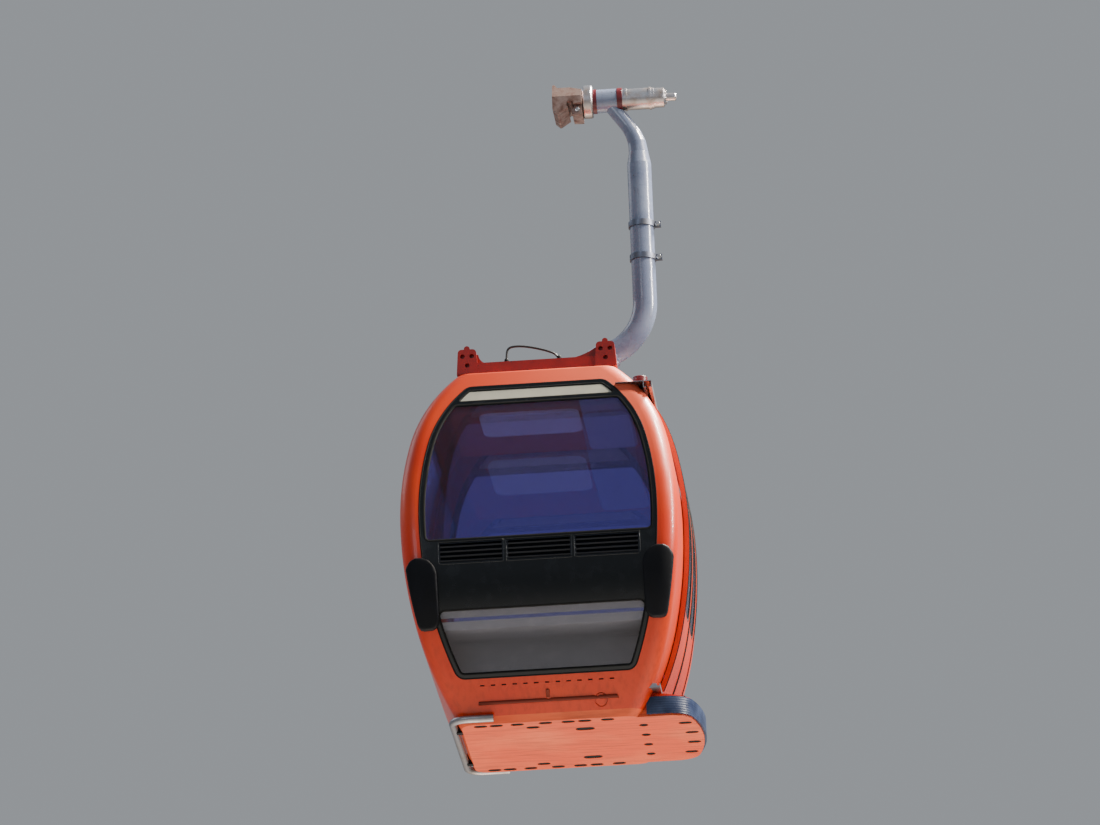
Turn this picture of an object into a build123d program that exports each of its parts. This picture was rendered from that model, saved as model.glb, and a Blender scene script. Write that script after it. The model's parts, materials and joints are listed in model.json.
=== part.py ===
from build123d import *
import math
import os

os.makedirs("parts", exist_ok=True)

# A six-seat gondola cabin on its hanger and rope grip, in millimetres, Z up.
# The rope runs along Y through the origin, and the doors are on the +X side.
# The cabin is measured across from its own middle and up from the underside of its
# base pan, and place_on_rope brings it under the rope when a piece is written.

# The rope above the cabin: its height over the base pan, and how far it lies to the door side
rope_height = 3870
rope_offset = 228

# Grip, measured out along X from the rope axis
rope_diameter = 42
rope_fit = 0.1
jaw_length = 260
moving_jaw_length = 173
jaw_wall = 30
jaw_crown = 118
jaw_hook_reach = 104
jaw_hook_drop = 56
jaw_tip_rise = 165
jaw_mouth_angle = -78
jaw_tip_angle = 52
jaw_end_length = 66
jaw_end_crown = 52
jaw_edge_radius = 9
grip_axis_rise = 52
jaw_neck_end = 68
jaw_neck_height = 92
thrust_disc_thick = 62
thrust_disc_diameter = 196
thrust_disc_edge = 14
grip_ring_thick = 22
outer_ring_thick = 30
grip_ring_diameter = 146
grip_shaft_diameter = 84
spring_length = 186
spring_diameter = 126
spring_band_thick = 12
spring_band_proud = 5
spring_band_inset = 16
grip_cap_length = 70
grip_cap_diameter = 116
grip_cap_taper = 12
grip_nose_length = 62
grip_nose_diameter = 46
grip_nose_edge = 9

# Hanger: head sleeve on the grip shaft, tapered neck, bent tube and foot
sleeve_length = 120
sleeve_diameter = 140
sleeve_running_gap = 0.1
sleeve_side_gap = 1
neck_ring_gap = 6
hanger_tube_diameter = 142
hanger_tube_wall = 9
hanger_reach = 385
neck_slant = 35
neck_bend_radius = 300
neck_slim_radius = 44
neck_shares = (0, 0.33, 0.67, 1)
neck_start = 360
hanger_bend_radius = 330
hanger_bend_angle = 62
hanger_tail = 150
hanger_tail_rise = 121
socket_wall = 13
socket_length = 120
clamp_drops = (740, 945)
clamp_band_width = 34
clamp_band_thick = 7
clamp_lug = 40
clamp_lug_thick = 26
clamp_lug_sink = 4
seat_gap = 0.3

# Body outline across the rope: half widths at named heights
wall = 35
far = 2600
cut_past = 5
base_half_width = 510
knee_height = 590
knee_half_width = 740
side_belt_height = 1150
side_belt_half_width = 795
shoulder_height = 1640
shoulder_half_width = 735
roof_top_height = 2090
roof_top_half_width = 457

# Body outline along the rope: half lengths at named heights
base_half_length = 500
knee_half_length = 800
end_belt_height = 900
end_belt_half_length = 860
brow_height = 1400
brow_half_length = 800
roof_top_half_length = 561

# How far the outline's last arcs run past the roof and the base before they are cut level
outline_run_on = 90
corner_radius = 95
corner_rise = 60
corner_reach = 200
roof_lip_radius = 20
base_pan_thick = 40

# End face: the dark framed shield between the corner posts
post_face = 118
shield_bottom = 235
roof_band = 100
shield_corner = 62
frame_border = 24
lower_window_top = 600
band_top = 858
vent_top = 982
transom_height = 78
transom_bar = 20
window_corner = 34
glass_setback = 5
glass_thick = 9
vent_count = 3
vent_gap = 22
vent_half = 570
vent_rim = 6
slat_depth = 22
slats_per_vent = 4
slat_thick = 9
slat_tilt = 28
slot_count = 13
slot_width = 26
slot_height = 8
slot_row_height = 196
groove_height = 104
groove_depth = 8
groove_width = 16
groove_half_length = 400
drain_slot = (12, 46)
drain_drop = 34
plug_place = (300, 92)
plug_diameter = 74
plug_ring = 5
shield_top = roof_top_height - roof_band
transom_top = shield_top - frame_border
transom_bottom = transom_top - transom_height
window_top = transom_bottom - transom_bar

# Side face
side_post_face = 130
side_window_bottom = 640
door_opening_half = 330
sill_height = 150
header_drop = 110
header_height = shield_top - header_drop
side_window_drop = 40
side_window_top = header_height - side_window_drop

# Door leaves outside the wall, on a top rail and a bottom rail
door_gap = 6
leaf_thick = 27
leaf_overlap = 16
leaf_bottom = 176
leaf_head_lap = 25
leaf_top = header_height + leaf_head_lap
leaf_meeting_gap = 3
leaf_window_border = 62
leaf_window_bottom = 660
leaf_window_drop = 105
leaf_window_top = leaf_top - leaf_window_drop
leaf_window_corner = 40
door_travel = 320
rail_end_margin = 30
rail_wall = 4
rail_clear = 6
rail_side_clear = 5
roller_diameter = 28
roller_thick = 8
roller_axle_radius = 5
strap_thick = 6
strap_width = 34
strap_above_axle = 8
roller_spread = 110
bottom_rail_height = 26
guide_shoe_drop = 16
guide_shoe_clear = 4
door_lever_length = 230
door_lever_roller = 86

# Base, step and floor
floor_underside = 100
floor_thick = 24
step_reach = 860
step_bow = 74
step_corner = 140
step_thick = 118
step_half_length = 470
bumper_height = 100
bumper_thick = 14
bumper_lip = 6
bumper_start = 550
pan_slot = (50, 20)
pan_slots_across = (-400, -310, -190, -30, 100, 195, 325)
pan_slot_edge = 42
pan_inner_slot = (-107, 118)
pan_wide_slot = (84, 34)
pan_wide_slot_place = (185, 295)
step_hole_diameter = 26
step_hole_column = 520
step_holes_along = (-300, -100, 100, 300)
step_slot_inset = 34
fairing_inset = 30
fairing_foot = 620
guide_shoe_length = 60
guide_rail_diameter = 44
guide_rail_offset = 48
guide_rail_height = 22
guide_rail_turn = 240
guide_rail_bend = 90
guide_bracket_along = 330
guide_bracket_width = 44
guide_bracket_reach = 40
guide_bracket_low = 2
guide_bracket_top = 62

# Roof frame
mount_height = 16
mount_diameter = 62
mount_along = 380
rail_across = 400
frame_rail_width = 70
frame_rail_height = 66
frame_half_length = 500
bracket_width = 126
bracket_top_width = 104
bracket_height = 150
bracket_length = 84
bracket_corner = 22
bracket_hole = 27
bracket_holes = ((-27, 108), (27, 108), (0, 52))
bracket_hole_depth = 22
eye_width = 34
eye_height = 20
gusset_thick = 20
gusset_height = 58
gusset_lengths = {"left": 62, "right": 190}
middle_bar_spread = 150
foot_length = 300
foot_thick = 24
web_thick = 22
lead_diameter = 14
lead_bend = 34
lead_run = ((-175, 86), (-80, 94), (130, 40))

# Inside
seat_height = 545
seat_thick = 46
seat_front = 330
back_top = 850
back_thick = 42
bench_half_width = 590
pedestal_thick = 30
bench_kick = 90
bench_rake = 60
back_rake = 34
ceiling_drop = 130
ceiling_height = roof_top_height - ceiling_drop
ceiling_thick = 12

# Rubber pads on the ends of the four corners
pad_thick = 42
pad_bottom = 490
pad_top = 940
pad_inner = 585
pad_edge = 14
pad_corner = 50

# Door lever and its roller on the roof frame
lever_plate_thick = 12
lever_arm_thick = 14
lever_arm_width = 56
lever_arm_rise = 10
lever_reach = 150
lever_along = -60
lever_roller_thick = 40
lever_roller_gap = 2
lever_roller_edge = 5
lever_pin_radius = 14


def place_on_rope(shape):
    return Pos(-rope_offset, 0, -rope_height) * shape


def write(node, shape):
    shape.label = node
    export_step(shape, f"parts/{node}.step")


def write_cabin(node, shape):
    write(node, place_on_rope(shape))


def tangent_arcs(start, steps):
    """Arcs tangent to each other from an upright start, as centre, radius and two angles."""
    arcs = []
    point = start
    angle = 0
    for half, height in steps:
        chord = (half - point[0], height - point[1])
        normal = (math.cos(angle), math.sin(angle))
        along_normal = chord[0] * normal[0] + chord[1] * normal[1]
        radius = -(chord[0] ** 2 + chord[1] ** 2) / (2 * along_normal)
        centre = (point[0] - radius * normal[0], point[1] - radius * normal[1])
        end_angle = math.atan2(height - centre[1], half - centre[0])
        arcs.append((centre, radius, math.degrees(angle), math.degrees(end_angle)))
        point = (half, height)
        angle = end_angle
    return arcs


def outline_face(belt, steps_up, steps_down, depth, low, high):
    """The body outline seen along one level axis, moved in by a depth, between two heights."""
    right = []
    ends = []
    for steps in (steps_up, steps_down):
        arcs = tangent_arcs(belt, steps)
        for index, (centre, radius, start_angle, end_angle) in enumerate(arcs):
            turn = end_angle - start_angle
            if index == len(arcs) - 1:
                turn += math.copysign(math.degrees(outline_run_on / abs(radius)), turn)
            right.append(CenterArc(centre, radius - depth, start_angle, turn))
        ends.append(right[-1] @ 1)
    left = [mirror(arc, about=Plane.YZ) for arc in right]
    lines = [Line((-end.X, end.Y), (end.X, end.Y)) for end in ends]
    strip = Pos(0, (low + high) / 2) * Rectangle(far, high - low)
    return make_face(right + left + lines) & strip


def across_face(depth, low, high):
    return outline_face(
        (side_belt_half_width, side_belt_height),
        [(shoulder_half_width, shoulder_height), (roof_top_half_width, roof_top_height)],
        [(knee_half_width, knee_height), (base_half_width, 0)],
        depth,
        low,
        high,
    )


def along_face(depth, low, high):
    return outline_face(
        (end_belt_half_length, end_belt_height),
        [(brow_half_length, brow_height), (roof_top_half_length, roof_top_height)],
        [(knee_half_length, knee_height), (base_half_length, 0)],
        depth,
        low,
        high,
    )


def along_y(face, low, high):
    solid = extrude(Plane.XZ * face, (high - low) / 2, both=True)
    return Pos(0, (low + high) / 2, 0) * solid


def along_x(face, low, high):
    solid = extrude(Plane.YZ * face, (high - low) / 2, both=True)
    return Pos((low + high) / 2, 0, 0) * solid


def upright_edges(solid):
    """The corner edges that climb from the base to the roof."""
    picked = []
    for edge in solid.edges():
        ends = edge @ 0, edge @ 1
        middle = edge.center()
        if abs(ends[0].Z - ends[1].Z) > corner_rise and min(abs(middle.X), abs(middle.Y)) > corner_reach:
            picked.append(edge)
    return picked


body_cache = {}


def body(depth):
    """The whole rounded body, its skin moved in by a depth."""
    if depth not in body_cache:
        low = depth
        high = roof_top_height - depth
        solid = along_y(across_face(depth, low, high), -far / 2, far / 2)
        solid &= along_x(along_face(depth, low, high), -far / 2, far / 2)
        body_cache[depth] = fillet(upright_edges(solid), corner_radius - depth)
    return body_cache[depth]


def layer(outer_depth, inner_depth):
    return body(outer_depth) - body(inner_depth)


def block(x, y, z):
    """A box from its (low, high) spans."""
    size = Box(x[1] - x[0], y[1] - y[0], z[1] - z[0])
    return Pos((x[0] + x[1]) / 2, (y[0] + y[1]) / 2, (z[0] + z[1]) / 2) * size


def rounded(prism, low, high, radius, axis):
    """A prism along a level axis, with its corners at the two heights rounded."""
    corners = []
    for edge in prism.edges().filter_by(axis):
        if min(abs(edge.center().Z - low), abs(edge.center().Z - high)) < 0.01:
            corners.append(edge)
    return fillet(corners, radius)


def end_prism(depth, low, high, radius):
    """A see-through shape of the end face, run the whole length of the cabin."""
    prism = along_y(across_face(depth, low, high), -far / 2, far / 2)
    return rounded(prism, low, high, radius, Axis.Y)


def flank_prism(depth, low, high, radius):
    """The same for the side face, run the whole width of the cabin."""
    prism = along_x(along_face(depth, low, high), -far / 2, far / 2)
    return rounded(prism, low, high, radius, Axis.X)


walls = layer(0, wall)
lane_depth = post_face + frame_border
shield_prism = end_prism(post_face, shield_bottom, shield_top, shield_corner)
main_window_prism = end_prism(lane_depth, vent_top + frame_border / 2, window_top, window_corner)
lower_window_prism = end_prism(lane_depth, shield_bottom + frame_border, lower_window_top, window_corner)
transom_prism = end_prism(lane_depth, transom_bottom, transom_top, window_corner / 3)
side_prism = flank_prism(side_post_face, base_pan_thick, shield_top, 1)
left_window_prism = flank_prism(
    side_post_face + frame_border, side_window_bottom, side_window_top, 2 * window_corner
)

# The vents side by side over the opaque band, as (low, high) spans across
vent_width = (2 * vent_half - (vent_count - 1) * vent_gap) / vent_count
vent_spans = []
for index in range(vent_count):
    vent_left = -vent_half + index * (vent_width + vent_gap)
    vent_spans.append((vent_left, vent_left + vent_width))

# Corner posts and lower end panels
panel_face = across_face(post_face, base_pan_thick, shield_bottom + shield_corner)
panel_prism = along_y(panel_face, -far / 2, far / 2)
post_walls = walls - shield_prism - side_prism - panel_prism
ends = (("front", -1), ("rear", 1))
sides = (("left", -1), ("right", 1))


def end_zone(end, low, high):
    """The half of the cabin towards one end, between two heights."""
    return block((-far / 2, far / 2), sorted((end * seat_front / 2, end * far / 2)), (low, high))


for end_name, end in ends:
    panel = (walls & end_zone(end, 0, far) & panel_prism) - shield_prism
    slot_pitch = 2 * groove_half_length / slot_count
    slots = []
    for index in range(slot_count):
        slot_x = (index - (slot_count - 1) / 2) * slot_pitch
        slots.append(block((slot_x - slot_width / 2, slot_x + slot_width / 2), (-far, far),
                           (slot_row_height - slot_height / 2, slot_row_height + slot_height / 2)))
    panel -= slots
    groove = layer(0, groove_depth) & block(
        (-groove_half_length, groove_half_length),
        (-far, far),
        (groove_height - groove_width / 2, groove_height + groove_width / 2),
    )
    drain = block((-drain_slot[0] / 2, drain_slot[0] / 2), (-far, far),
                  (slot_row_height - drain_drop - drain_slot[1], slot_row_height - drain_drop))
    plug = Pos(plug_place[0], 0, plug_place[1]) * Rot(90, 0, 0) * (
        Cylinder(plug_diameter / 2, far) - Cylinder(plug_diameter / 2 - plug_ring, far))
    write_cabin(f"end_panel_{end_name}", panel - groove - (layer(0, groove_depth) & (plug + drain)))
    for side_name, side in sides:
        post = post_walls & end_zone(end, base_pan_thick, shield_top)
        post &= block(sorted((0, side * far / 2)), (-far, far), (0, far))
        write_cabin(f"corner_post_{end_name}_{side_name}", post)

# Dark frame, windows, transom strip and vents in each end
vent_blocks = [block(span, (-far, far), (band_top, vent_top)) for span in vent_spans]
glass_layer = layer(glass_setback, glass_setback + glass_thick)
end_windows = []
low_windows = []
transom_strips = []
vents = []
for end_name, end in ends:
    zone = end_zone(end, 0, far)
    frame = walls & shield_prism & zone
    frame -= [main_window_prism, lower_window_prism, transom_prism] + vent_blocks
    write_cabin(f"end_frame_{end_name}", frame)
    end_windows.append(glass_layer & main_window_prism & zone)
    low_windows.append(glass_layer & lower_window_prism & zone)
    transom_strips.append(glass_layer & transom_prism & zone)
    vent_wall = layer(glass_setback, wall) & zone
    slat_pitch = (vent_top - band_top - 2 * vent_rim) / slats_per_vent
    for span in vent_spans:
        rim = vent_wall & block(span, (-far, far), (band_top, vent_top))
        hole = block((span[0] + vent_rim, span[1] - vent_rim), (-far, far),
                     (band_top + vent_rim, vent_top - vent_rim))
        slats = []
        for index in range(slats_per_vent):
            slat_z = band_top + vent_rim + (index + 0.5) * slat_pitch
            slat = Box(span[1] - span[0] - 2 * vent_rim, slat_depth, slat_thick)
            slat = Rot(-end * slat_tilt, 0, 0) * slat
            slats.append(Pos((span[0] + span[1]) / 2, end * (end_belt_half_length - wall / 2), slat_z) * slat)
        vents.append((rim - hole) + slats)
write_cabin("end_windows", Compound(children=end_windows))
write_cabin("low_windows", Compound(children=low_windows))
write_cabin("transom_strips", Compound(children=transom_strips))
write_cabin("vents", Compound(children=vents))

# Side walls
left_zone = block((-far / 2, -seat_front), (-far, far), (0, far))
right_zone = block((seat_front, far / 2), (-far, far), (0, far))
opening_block = block((0, far / 2), (-door_opening_half, door_opening_half), (sill_height, header_height))
write_cabin("side_panel_left", (walls & side_prism & left_zone) - left_window_prism)
write_cabin("side_window_left", glass_layer & left_window_prism & left_zone)
write_cabin("side_wall_right", (walls & side_prism & right_zone) - opening_block)

# Roof shell with its rounded lip, and the ceiling
roof = walls & block((-far, far), (-far, far), (shield_top, far))
lip_edges = roof.faces().sort_by(Axis.Z)[-1].outer_wire().edges()
write_cabin("roof_shell", fillet(lip_edges, roof_lip_radius))
inside = body(wall)
for level_name, underside, thick in (
    ("ceiling", ceiling_height, ceiling_thick),
    ("floor", floor_underside, floor_thick),
):
    write_cabin(level_name, inside & block((-far, far), (-far, far), (underside, underside + thick)))

# Base pan with the step on the door side
step_edge = step_reach - bumper_thick


def step_plan(grow):
    """The plan of the step, from under the cabin out to its bowed edge."""
    half = step_half_length + grow
    shoulder = step_edge - step_bow
    outline = make_face([
        Line((0, -half), (shoulder, -half)),
        ThreePointArc((shoulder, -half), (step_edge + grow, 0), (shoulder, half)),
        Line((shoulder, half), (0, half)),
        Line((0, half), (0, -half)),
    ])
    corners = [v for v in outline.vertices() if v.X > 1]
    return fillet(corners, step_corner + grow)


def slab(face, low, high):
    return Pos(0, 0, low) * extrude(face, high - low)


pan = body(0) & block((-far, far), (-far, far), (0, base_pan_thick))
pan += slab(step_plan(0), 0, base_pan_thick)


def pan_hole(x, y, size):
    """A slot through the base pan, longer across the cabin than along it."""
    return Pos(x, y, base_pan_thick / 2) * extrude(SlotOverall(size[0], size[1]), base_pan_thick, both=True)


pan_holes = []
for end_name, end in ends:
    for hole_x in pan_slots_across:
        pan_holes.append(pan_hole(hole_x, end * (base_half_length - pan_slot_edge), pan_slot))
    inner_y = end * (base_half_length - pan_inner_slot[1])
    pan_holes.append(pan_hole(pan_inner_slot[0], inner_y, pan_slot))
    pan_holes.append(pan_hole(pan_wide_slot_place[0], end * pan_wide_slot_place[1], pan_wide_slot))
for hole_y in step_holes_along:
    pan_holes.append(Pos(step_hole_column, hole_y, 0) * Cylinder(step_hole_diameter / 2, 3 * base_pan_thick))
    bow_x = step_edge - step_bow * (hole_y / step_half_length) ** 2 - step_slot_inset - pan_slot[0] / 2
    pan_holes.append(pan_hole(bow_x, hole_y, pan_slot))
write_cabin("base_pan", pan - pan_holes)

step_body = slab(step_plan(0), base_pan_thick, step_thick) - body(0)
step_fairing_top = leaf_bottom - rail_clear - bottom_rail_height
fairing_profile = make_face(Polyline(
    (0, step_thick), (step_edge - step_bow, step_thick), (fairing_foot, step_fairing_top),
    (0, step_fairing_top), close=True))
fairing_end = step_half_length - fairing_inset
fairings = along_y(fairing_profile, -fairing_end, fairing_end) - body(0)
fairings -= block((0, far), (-door_opening_half, door_opening_half), (step_thick, far))
write_cabin("step", step_body + fairings)
bumper_low = step_thick - bumper_lip - bumper_height
bumper = slab(step_plan(bumper_thick) - step_plan(0), bumper_low, step_thick - bumper_lip)
bumper &= block((bumper_start, far), (-far, far), (0, far))
bumper -= body(-seat_gap)
write_cabin("step_bumper", bumper)

# Pale guide rail along the left edge of the base, with two brackets
rail_x = -(base_half_width + guide_rail_offset)
rail_end = base_half_length + guide_rail_offset
rail_path = FilletPolyline(
    (rail_x + guide_rail_turn, -rail_end, guide_rail_height),
    (rail_x, -rail_end, guide_rail_height),
    (rail_x, rail_end, guide_rail_height),
    (rail_x + guide_rail_turn, rail_end, guide_rail_height),
    radius=guide_rail_bend,
)
rail_section = Plane(origin=rail_path @ 0, z_dir=rail_path % 0) * Circle(guide_rail_diameter / 2)
guide_rail = sweep(rail_section, path=rail_path)
write_cabin("guide_rail", guide_rail)
brackets = []
bracket_bore = Rot(90, 0, 0) * Cylinder(guide_rail_diameter / 2 + seat_gap, 2 * guide_bracket_width)
for bracket_y in (-guide_bracket_along, guide_bracket_along):
    bracket = block((rail_x, -base_half_width + guide_bracket_reach),
                    (bracket_y - guide_bracket_width / 2, bracket_y + guide_bracket_width / 2),
                    (guide_bracket_low, guide_bracket_top))
    bracket -= body(-seat_gap)
    brackets.append(bracket - Pos(rail_x, bracket_y, guide_rail_height) * bracket_bore)
write_cabin("guide_brackets", Compound(children=brackets))

# Half width of the body at a height, moved in by a depth
width_arcs = tangent_arcs((side_belt_half_width, side_belt_height),
                          [(shoulder_half_width, shoulder_height), (roof_top_half_width, roof_top_height)])
width_arcs += tangent_arcs((side_belt_half_width, side_belt_height),
                           [(knee_half_width, knee_height), (base_half_width, 0)])


def half_width(height, depth):
    for centre, radius, start_angle, end_angle in width_arcs:
        low, high = sorted((math.sin(math.radians(start_angle)), math.sin(math.radians(end_angle))))
        sine = (height - centre[1]) / (radius - depth)
        if low <= sine <= high:
            return centre[0] + (radius - depth) * math.sqrt(1 - sine ** 2)
    raise ValueError("height off the body outline")


# Door leaves, hung on trolleys in the top rail and guided below
leaf_inner = -door_gap
leaf_outer = -door_gap - leaf_thick
leaf_far = door_opening_half + leaf_overlap
leaf_middle = (leaf_meeting_gap + leaf_far) / 2
top_x = half_width(leaf_top, leaf_inner - leaf_thick / 2)
low_x = half_width(leaf_bottom, leaf_inner - leaf_thick / 2)
rail_floor = leaf_top + rail_clear + rail_wall
roller_z = rail_floor + seat_gap + roller_diameter / 2
slot_half = strap_thick / 2 + rail_side_clear
rail_half_width = slot_half + roller_thick + rail_side_clear + rail_wall
rail_half_length = leaf_middle + door_travel + roller_spread + roller_diameter / 2 + rail_end_margin
bottom_rail_half_length = leaf_middle + door_travel + guide_shoe_length / 2 + rail_end_margin
skin = across_face(leaf_outer, leaf_bottom, leaf_top) - across_face(
    leaf_inner, leaf_bottom - cut_past, leaf_top + cut_past)
pane_outer = leaf_outer + glass_setback
pane_skin = across_face(pane_outer, leaf_bottom, leaf_top)
pane_skin -= across_face(pane_outer + glass_thick, leaf_bottom - cut_past, leaf_top + cut_past)
leaf_window_width = leaf_far - leaf_meeting_gap - 2 * leaf_window_border
leaf_window_height = leaf_window_top - leaf_window_bottom
leaf_window_face = RectangleRounded(leaf_window_height, leaf_window_width, leaf_window_corner)
for end_name, end in ends:
    span = sorted((end * leaf_meeting_gap, end * leaf_far))
    right_half = block((0, far), span, (0, far))
    window_place = Pos(far / 4, end * leaf_middle, (leaf_window_bottom + leaf_window_top) / 2) * Rot(0, 90, 0)
    window = window_place * extrude(leaf_window_face, far / 4, both=True)
    write_cabin(f"door_leaf_{end_name}", (along_y(skin, *span) & right_half) - window)
    write_cabin(f"door_window_{end_name}", along_y(pane_skin, *span) & right_half & window)
    hangers = []
    for spread in (-roller_spread, roller_spread):
        trolley_y = end * leaf_middle + spread
        strap = block((top_x - strap_thick / 2, top_x + strap_thick / 2),
                      (trolley_y - strap_width / 2, trolley_y + strap_width / 2),
                      (leaf_top, roller_z + strap_above_axle))
        wheels = Rot(0, 90, 0) * Cylinder(roller_diameter / 2, 2 * (slot_half + roller_thick))
        wheels -= Rot(0, 90, 0) * Cylinder(roller_diameter / 2 + 1, 2 * slot_half)
        axle = Rot(0, 90, 0) * Cylinder(roller_axle_radius, 2 * (slot_half + roller_thick))
        hangers.append(strap + Pos(top_x, trolley_y, roller_z) * (wheels + axle))
    shoe = block((low_x - strap_thick / 2, low_x + strap_thick / 2),
                 (end * leaf_middle - guide_shoe_length / 2, end * leaf_middle + guide_shoe_length / 2),
                 (leaf_bottom - guide_shoe_drop, leaf_bottom))
    shoe -= along_y(across_face(leaf_inner, leaf_bottom, leaf_top), -far / 2, far / 2)
    write_cabin(f"door_hangers_{end_name}", Compound(children=hangers + [shoe]))

rail_top = roller_z + roller_diameter / 2 + rail_side_clear + rail_wall
top_rail = block((top_x - rail_half_width, top_x + rail_half_width), (-rail_half_length, rail_half_length),
                 (rail_floor - rail_wall, rail_top))
top_rail -= block((top_x - rail_half_width + rail_wall, top_x + rail_half_width - rail_wall), (-far, far),
                  (rail_floor, rail_top - rail_wall))
top_rail -= block((top_x - slot_half, top_x + slot_half), (-far, far), (0, rail_floor))
web = block((0, top_x - rail_half_width), (-rail_half_length, rail_half_length),
            (rail_top - rail_wall, rail_top))
web -= body(0)
web &= block((roof_top_half_width, far), (-far, far), (0, far))
write_cabin("door_rail_top", top_rail + web)
low_rail_top = leaf_bottom - rail_clear
low_rail = block((0, low_x + slot_half + rail_wall), (-bottom_rail_half_length, bottom_rail_half_length),
                 (low_rail_top - bottom_rail_height, low_rail_top)) - body(0)
low_rail &= block((base_half_width, far), (-far, far), (0, far))
low_rail -= block((low_x - slot_half, low_x + slot_half), (-far, far),
                  (leaf_bottom - guide_shoe_drop - guide_shoe_clear, low_rail_top))
write_cabin("door_rail_bottom", low_rail)

# Benches facing each other, clear of the walls by the seat gap
bench_room = body(wall + seat_gap)
benches = []
for end_name, end in ends:
    seat_low = seat_height - seat_thick
    pedestal_top = seat_front + bench_kick
    pedestal_foot = pedestal_top + bench_rake
    back_front = end_belt_half_length - wall - back_thick
    profile = make_face(Polyline(
        (end * seat_front, seat_height),
        (end * seat_front, seat_low),
        (end * pedestal_top, seat_low),
        (end * pedestal_foot, floor_underside + floor_thick),
        (end * (pedestal_foot + pedestal_thick), floor_underside + floor_thick),
        (end * (pedestal_top + pedestal_thick), seat_low),
        (end * far / 2, seat_low),
        (end * far / 2, back_top),
        (end * back_front, back_top),
        (end * (back_front - back_rake), seat_height),
        close=True,
    ))
    benches.append(along_x(profile, -bench_half_width, bench_half_width) & bench_room)
write_cabin("benches", Compound(children=benches))

# Rubber pads on the end faces by the four corners, their outer edges along the body's outline
pad_prism = along_y(across_face(pad_edge, pad_bottom, pad_top), -far / 2, far / 2)
pad_prism -= block((-pad_inner, pad_inner), (-far, far), (0, far))
pad_prism = rounded(pad_prism, pad_bottom, pad_top, pad_corner, Axis.Y)
pad_layer = layer(-pad_thick, -seat_gap) & pad_prism
pads = []
for end_name, end in ends:
    for side_name, side in sides:
        quarter = block(sorted((0, side * far / 2)), (-far, far), (0, far))
        pads.append(pad_layer & end_zone(end, 0, far) & quarter)
write_cabin("corner_pads", Compound(children=pads))

# Roof frame on rubber mounts
frame_low = roof_top_height + mount_height
frame_high = frame_low + frame_rail_height
mounts = [Pos(x, y, roof_top_height + mount_height / 2) * Cylinder(mount_diameter / 2, mount_height)
          for x in (-rail_across, rail_across) for y in (-mount_along, mount_along)]
write_cabin("roof_mounts", Compound(children=mounts))
bar_y = frame_half_length - bracket_length / 2
bar_reach = rail_across - bracket_width / 2
roof_rails = []
for side_name, side in sides:
    rail_span = (side * rail_across - frame_rail_width / 2, side * rail_across + frame_rail_width / 2)
    rail_run = (-frame_half_length + bracket_length, frame_half_length - bracket_length)
    roof_rails.append(block(rail_span, rail_run, (frame_low, frame_high)))
write_cabin("roof_rails", Compound(children=roof_rails))

bracket_face = make_face(Polyline(
    (-bracket_width / 2, 0),
    (bracket_width / 2, 0),
    (bracket_top_width / 2, bracket_height),
    (-bracket_top_width / 2, bracket_height),
    close=True,
))
bracket_face = fillet([v for v in bracket_face.vertices() if v.Y > 1], bracket_corner)
bracket_face += Pos(0, bracket_height + eye_height - eye_width / 2) * Circle(eye_width / 2)


def gusset(side, length):
    """The plate that climbs from the cross bar to a bracket in a hollow curve."""
    foot = side * (bar_reach - length)
    return make_face([
        TangentArc((foot, frame_high), (side * bar_reach, frame_high + gusset_height), tangent=(side, 0)),
        Line((side * bar_reach, frame_high + gusset_height),
             (side * rail_across, frame_high + gusset_height)),
        Line((side * rail_across, frame_high + gusset_height), (side * rail_across, frame_high)),
        Line((side * rail_across, frame_high), (foot, frame_high)),
    ])


middle_bars = []
for end_name, end in ends:
    bar_span = (end * bar_y - frame_rail_width / 2, end * bar_y + frame_rail_width / 2)
    bar = block((-rail_across, rail_across), bar_span, (frame_low, frame_high))
    heads = []
    holes = []
    for side_name, side in sides:
        head_span = (end * bar_y - bracket_length / 2, end * bar_y + bracket_length / 2)
        heads.append(along_y(Pos(side * rail_across, frame_low) * bracket_face, *head_span))
        plate_span = (end * bar_y - gusset_thick / 2, end * bar_y + gusset_thick / 2)
        heads.append(along_y(gusset(side, gusset_lengths[side_name]), *plate_span))
        for hole_x, hole_z in bracket_holes:
            hole = Rot(90, 0, 0) * Cylinder(bracket_hole / 2, 2 * bracket_hole_depth)
            holes.append(Pos(side * rail_across + hole_x, end * frame_half_length, frame_low + hole_z) * hole)
    write_cabin(f"roof_bar_{end_name}", (bar + heads) - holes)
    inner_reach = rail_across - frame_rail_width / 2
    middle_span = (end * middle_bar_spread - frame_rail_width / 2, end * middle_bar_spread + frame_rail_width / 2)
    middle_bars.append(block((-inner_reach, inner_reach), middle_span, (frame_low, frame_high)))
write_cabin("middle_bars", Compound(children=middle_bars))
lead_points = [(lead_run[0][0], 0)] + list(lead_run) + [(lead_run[-1][0], 0)]
lead_path = FilletPolyline(*[(x, -bar_y, frame_high + z) for x, z in lead_points], radius=lead_bend)
lead_section = Plane(origin=lead_path @ 0, z_dir=lead_path % 0) * Circle(lead_diameter / 2)
write_cabin("roof_lead", sweep(lead_section, path=lead_path))

# Door lever with its roller on the right roof rail
lever_x = rail_across + frame_rail_width / 2
plate_end = lever_x + lever_plate_thick
pin_x = plate_end + lever_reach - lever_arm_width / 2
arm_low = frame_low + lever_arm_rise
arm_top = arm_low + lever_arm_thick
roller_low = arm_top + lever_roller_gap
roller_top = roller_low + lever_roller_thick
plate_run = (lever_along - door_lever_length / 2, lever_along + door_lever_length / 2)
lever = block((lever_x, plate_end), plate_run, (frame_low, frame_high))
lever += block((plate_end, pin_x), (lever_along - lever_arm_width / 2, lever_along + lever_arm_width / 2),
               (arm_low, arm_top))


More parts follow.
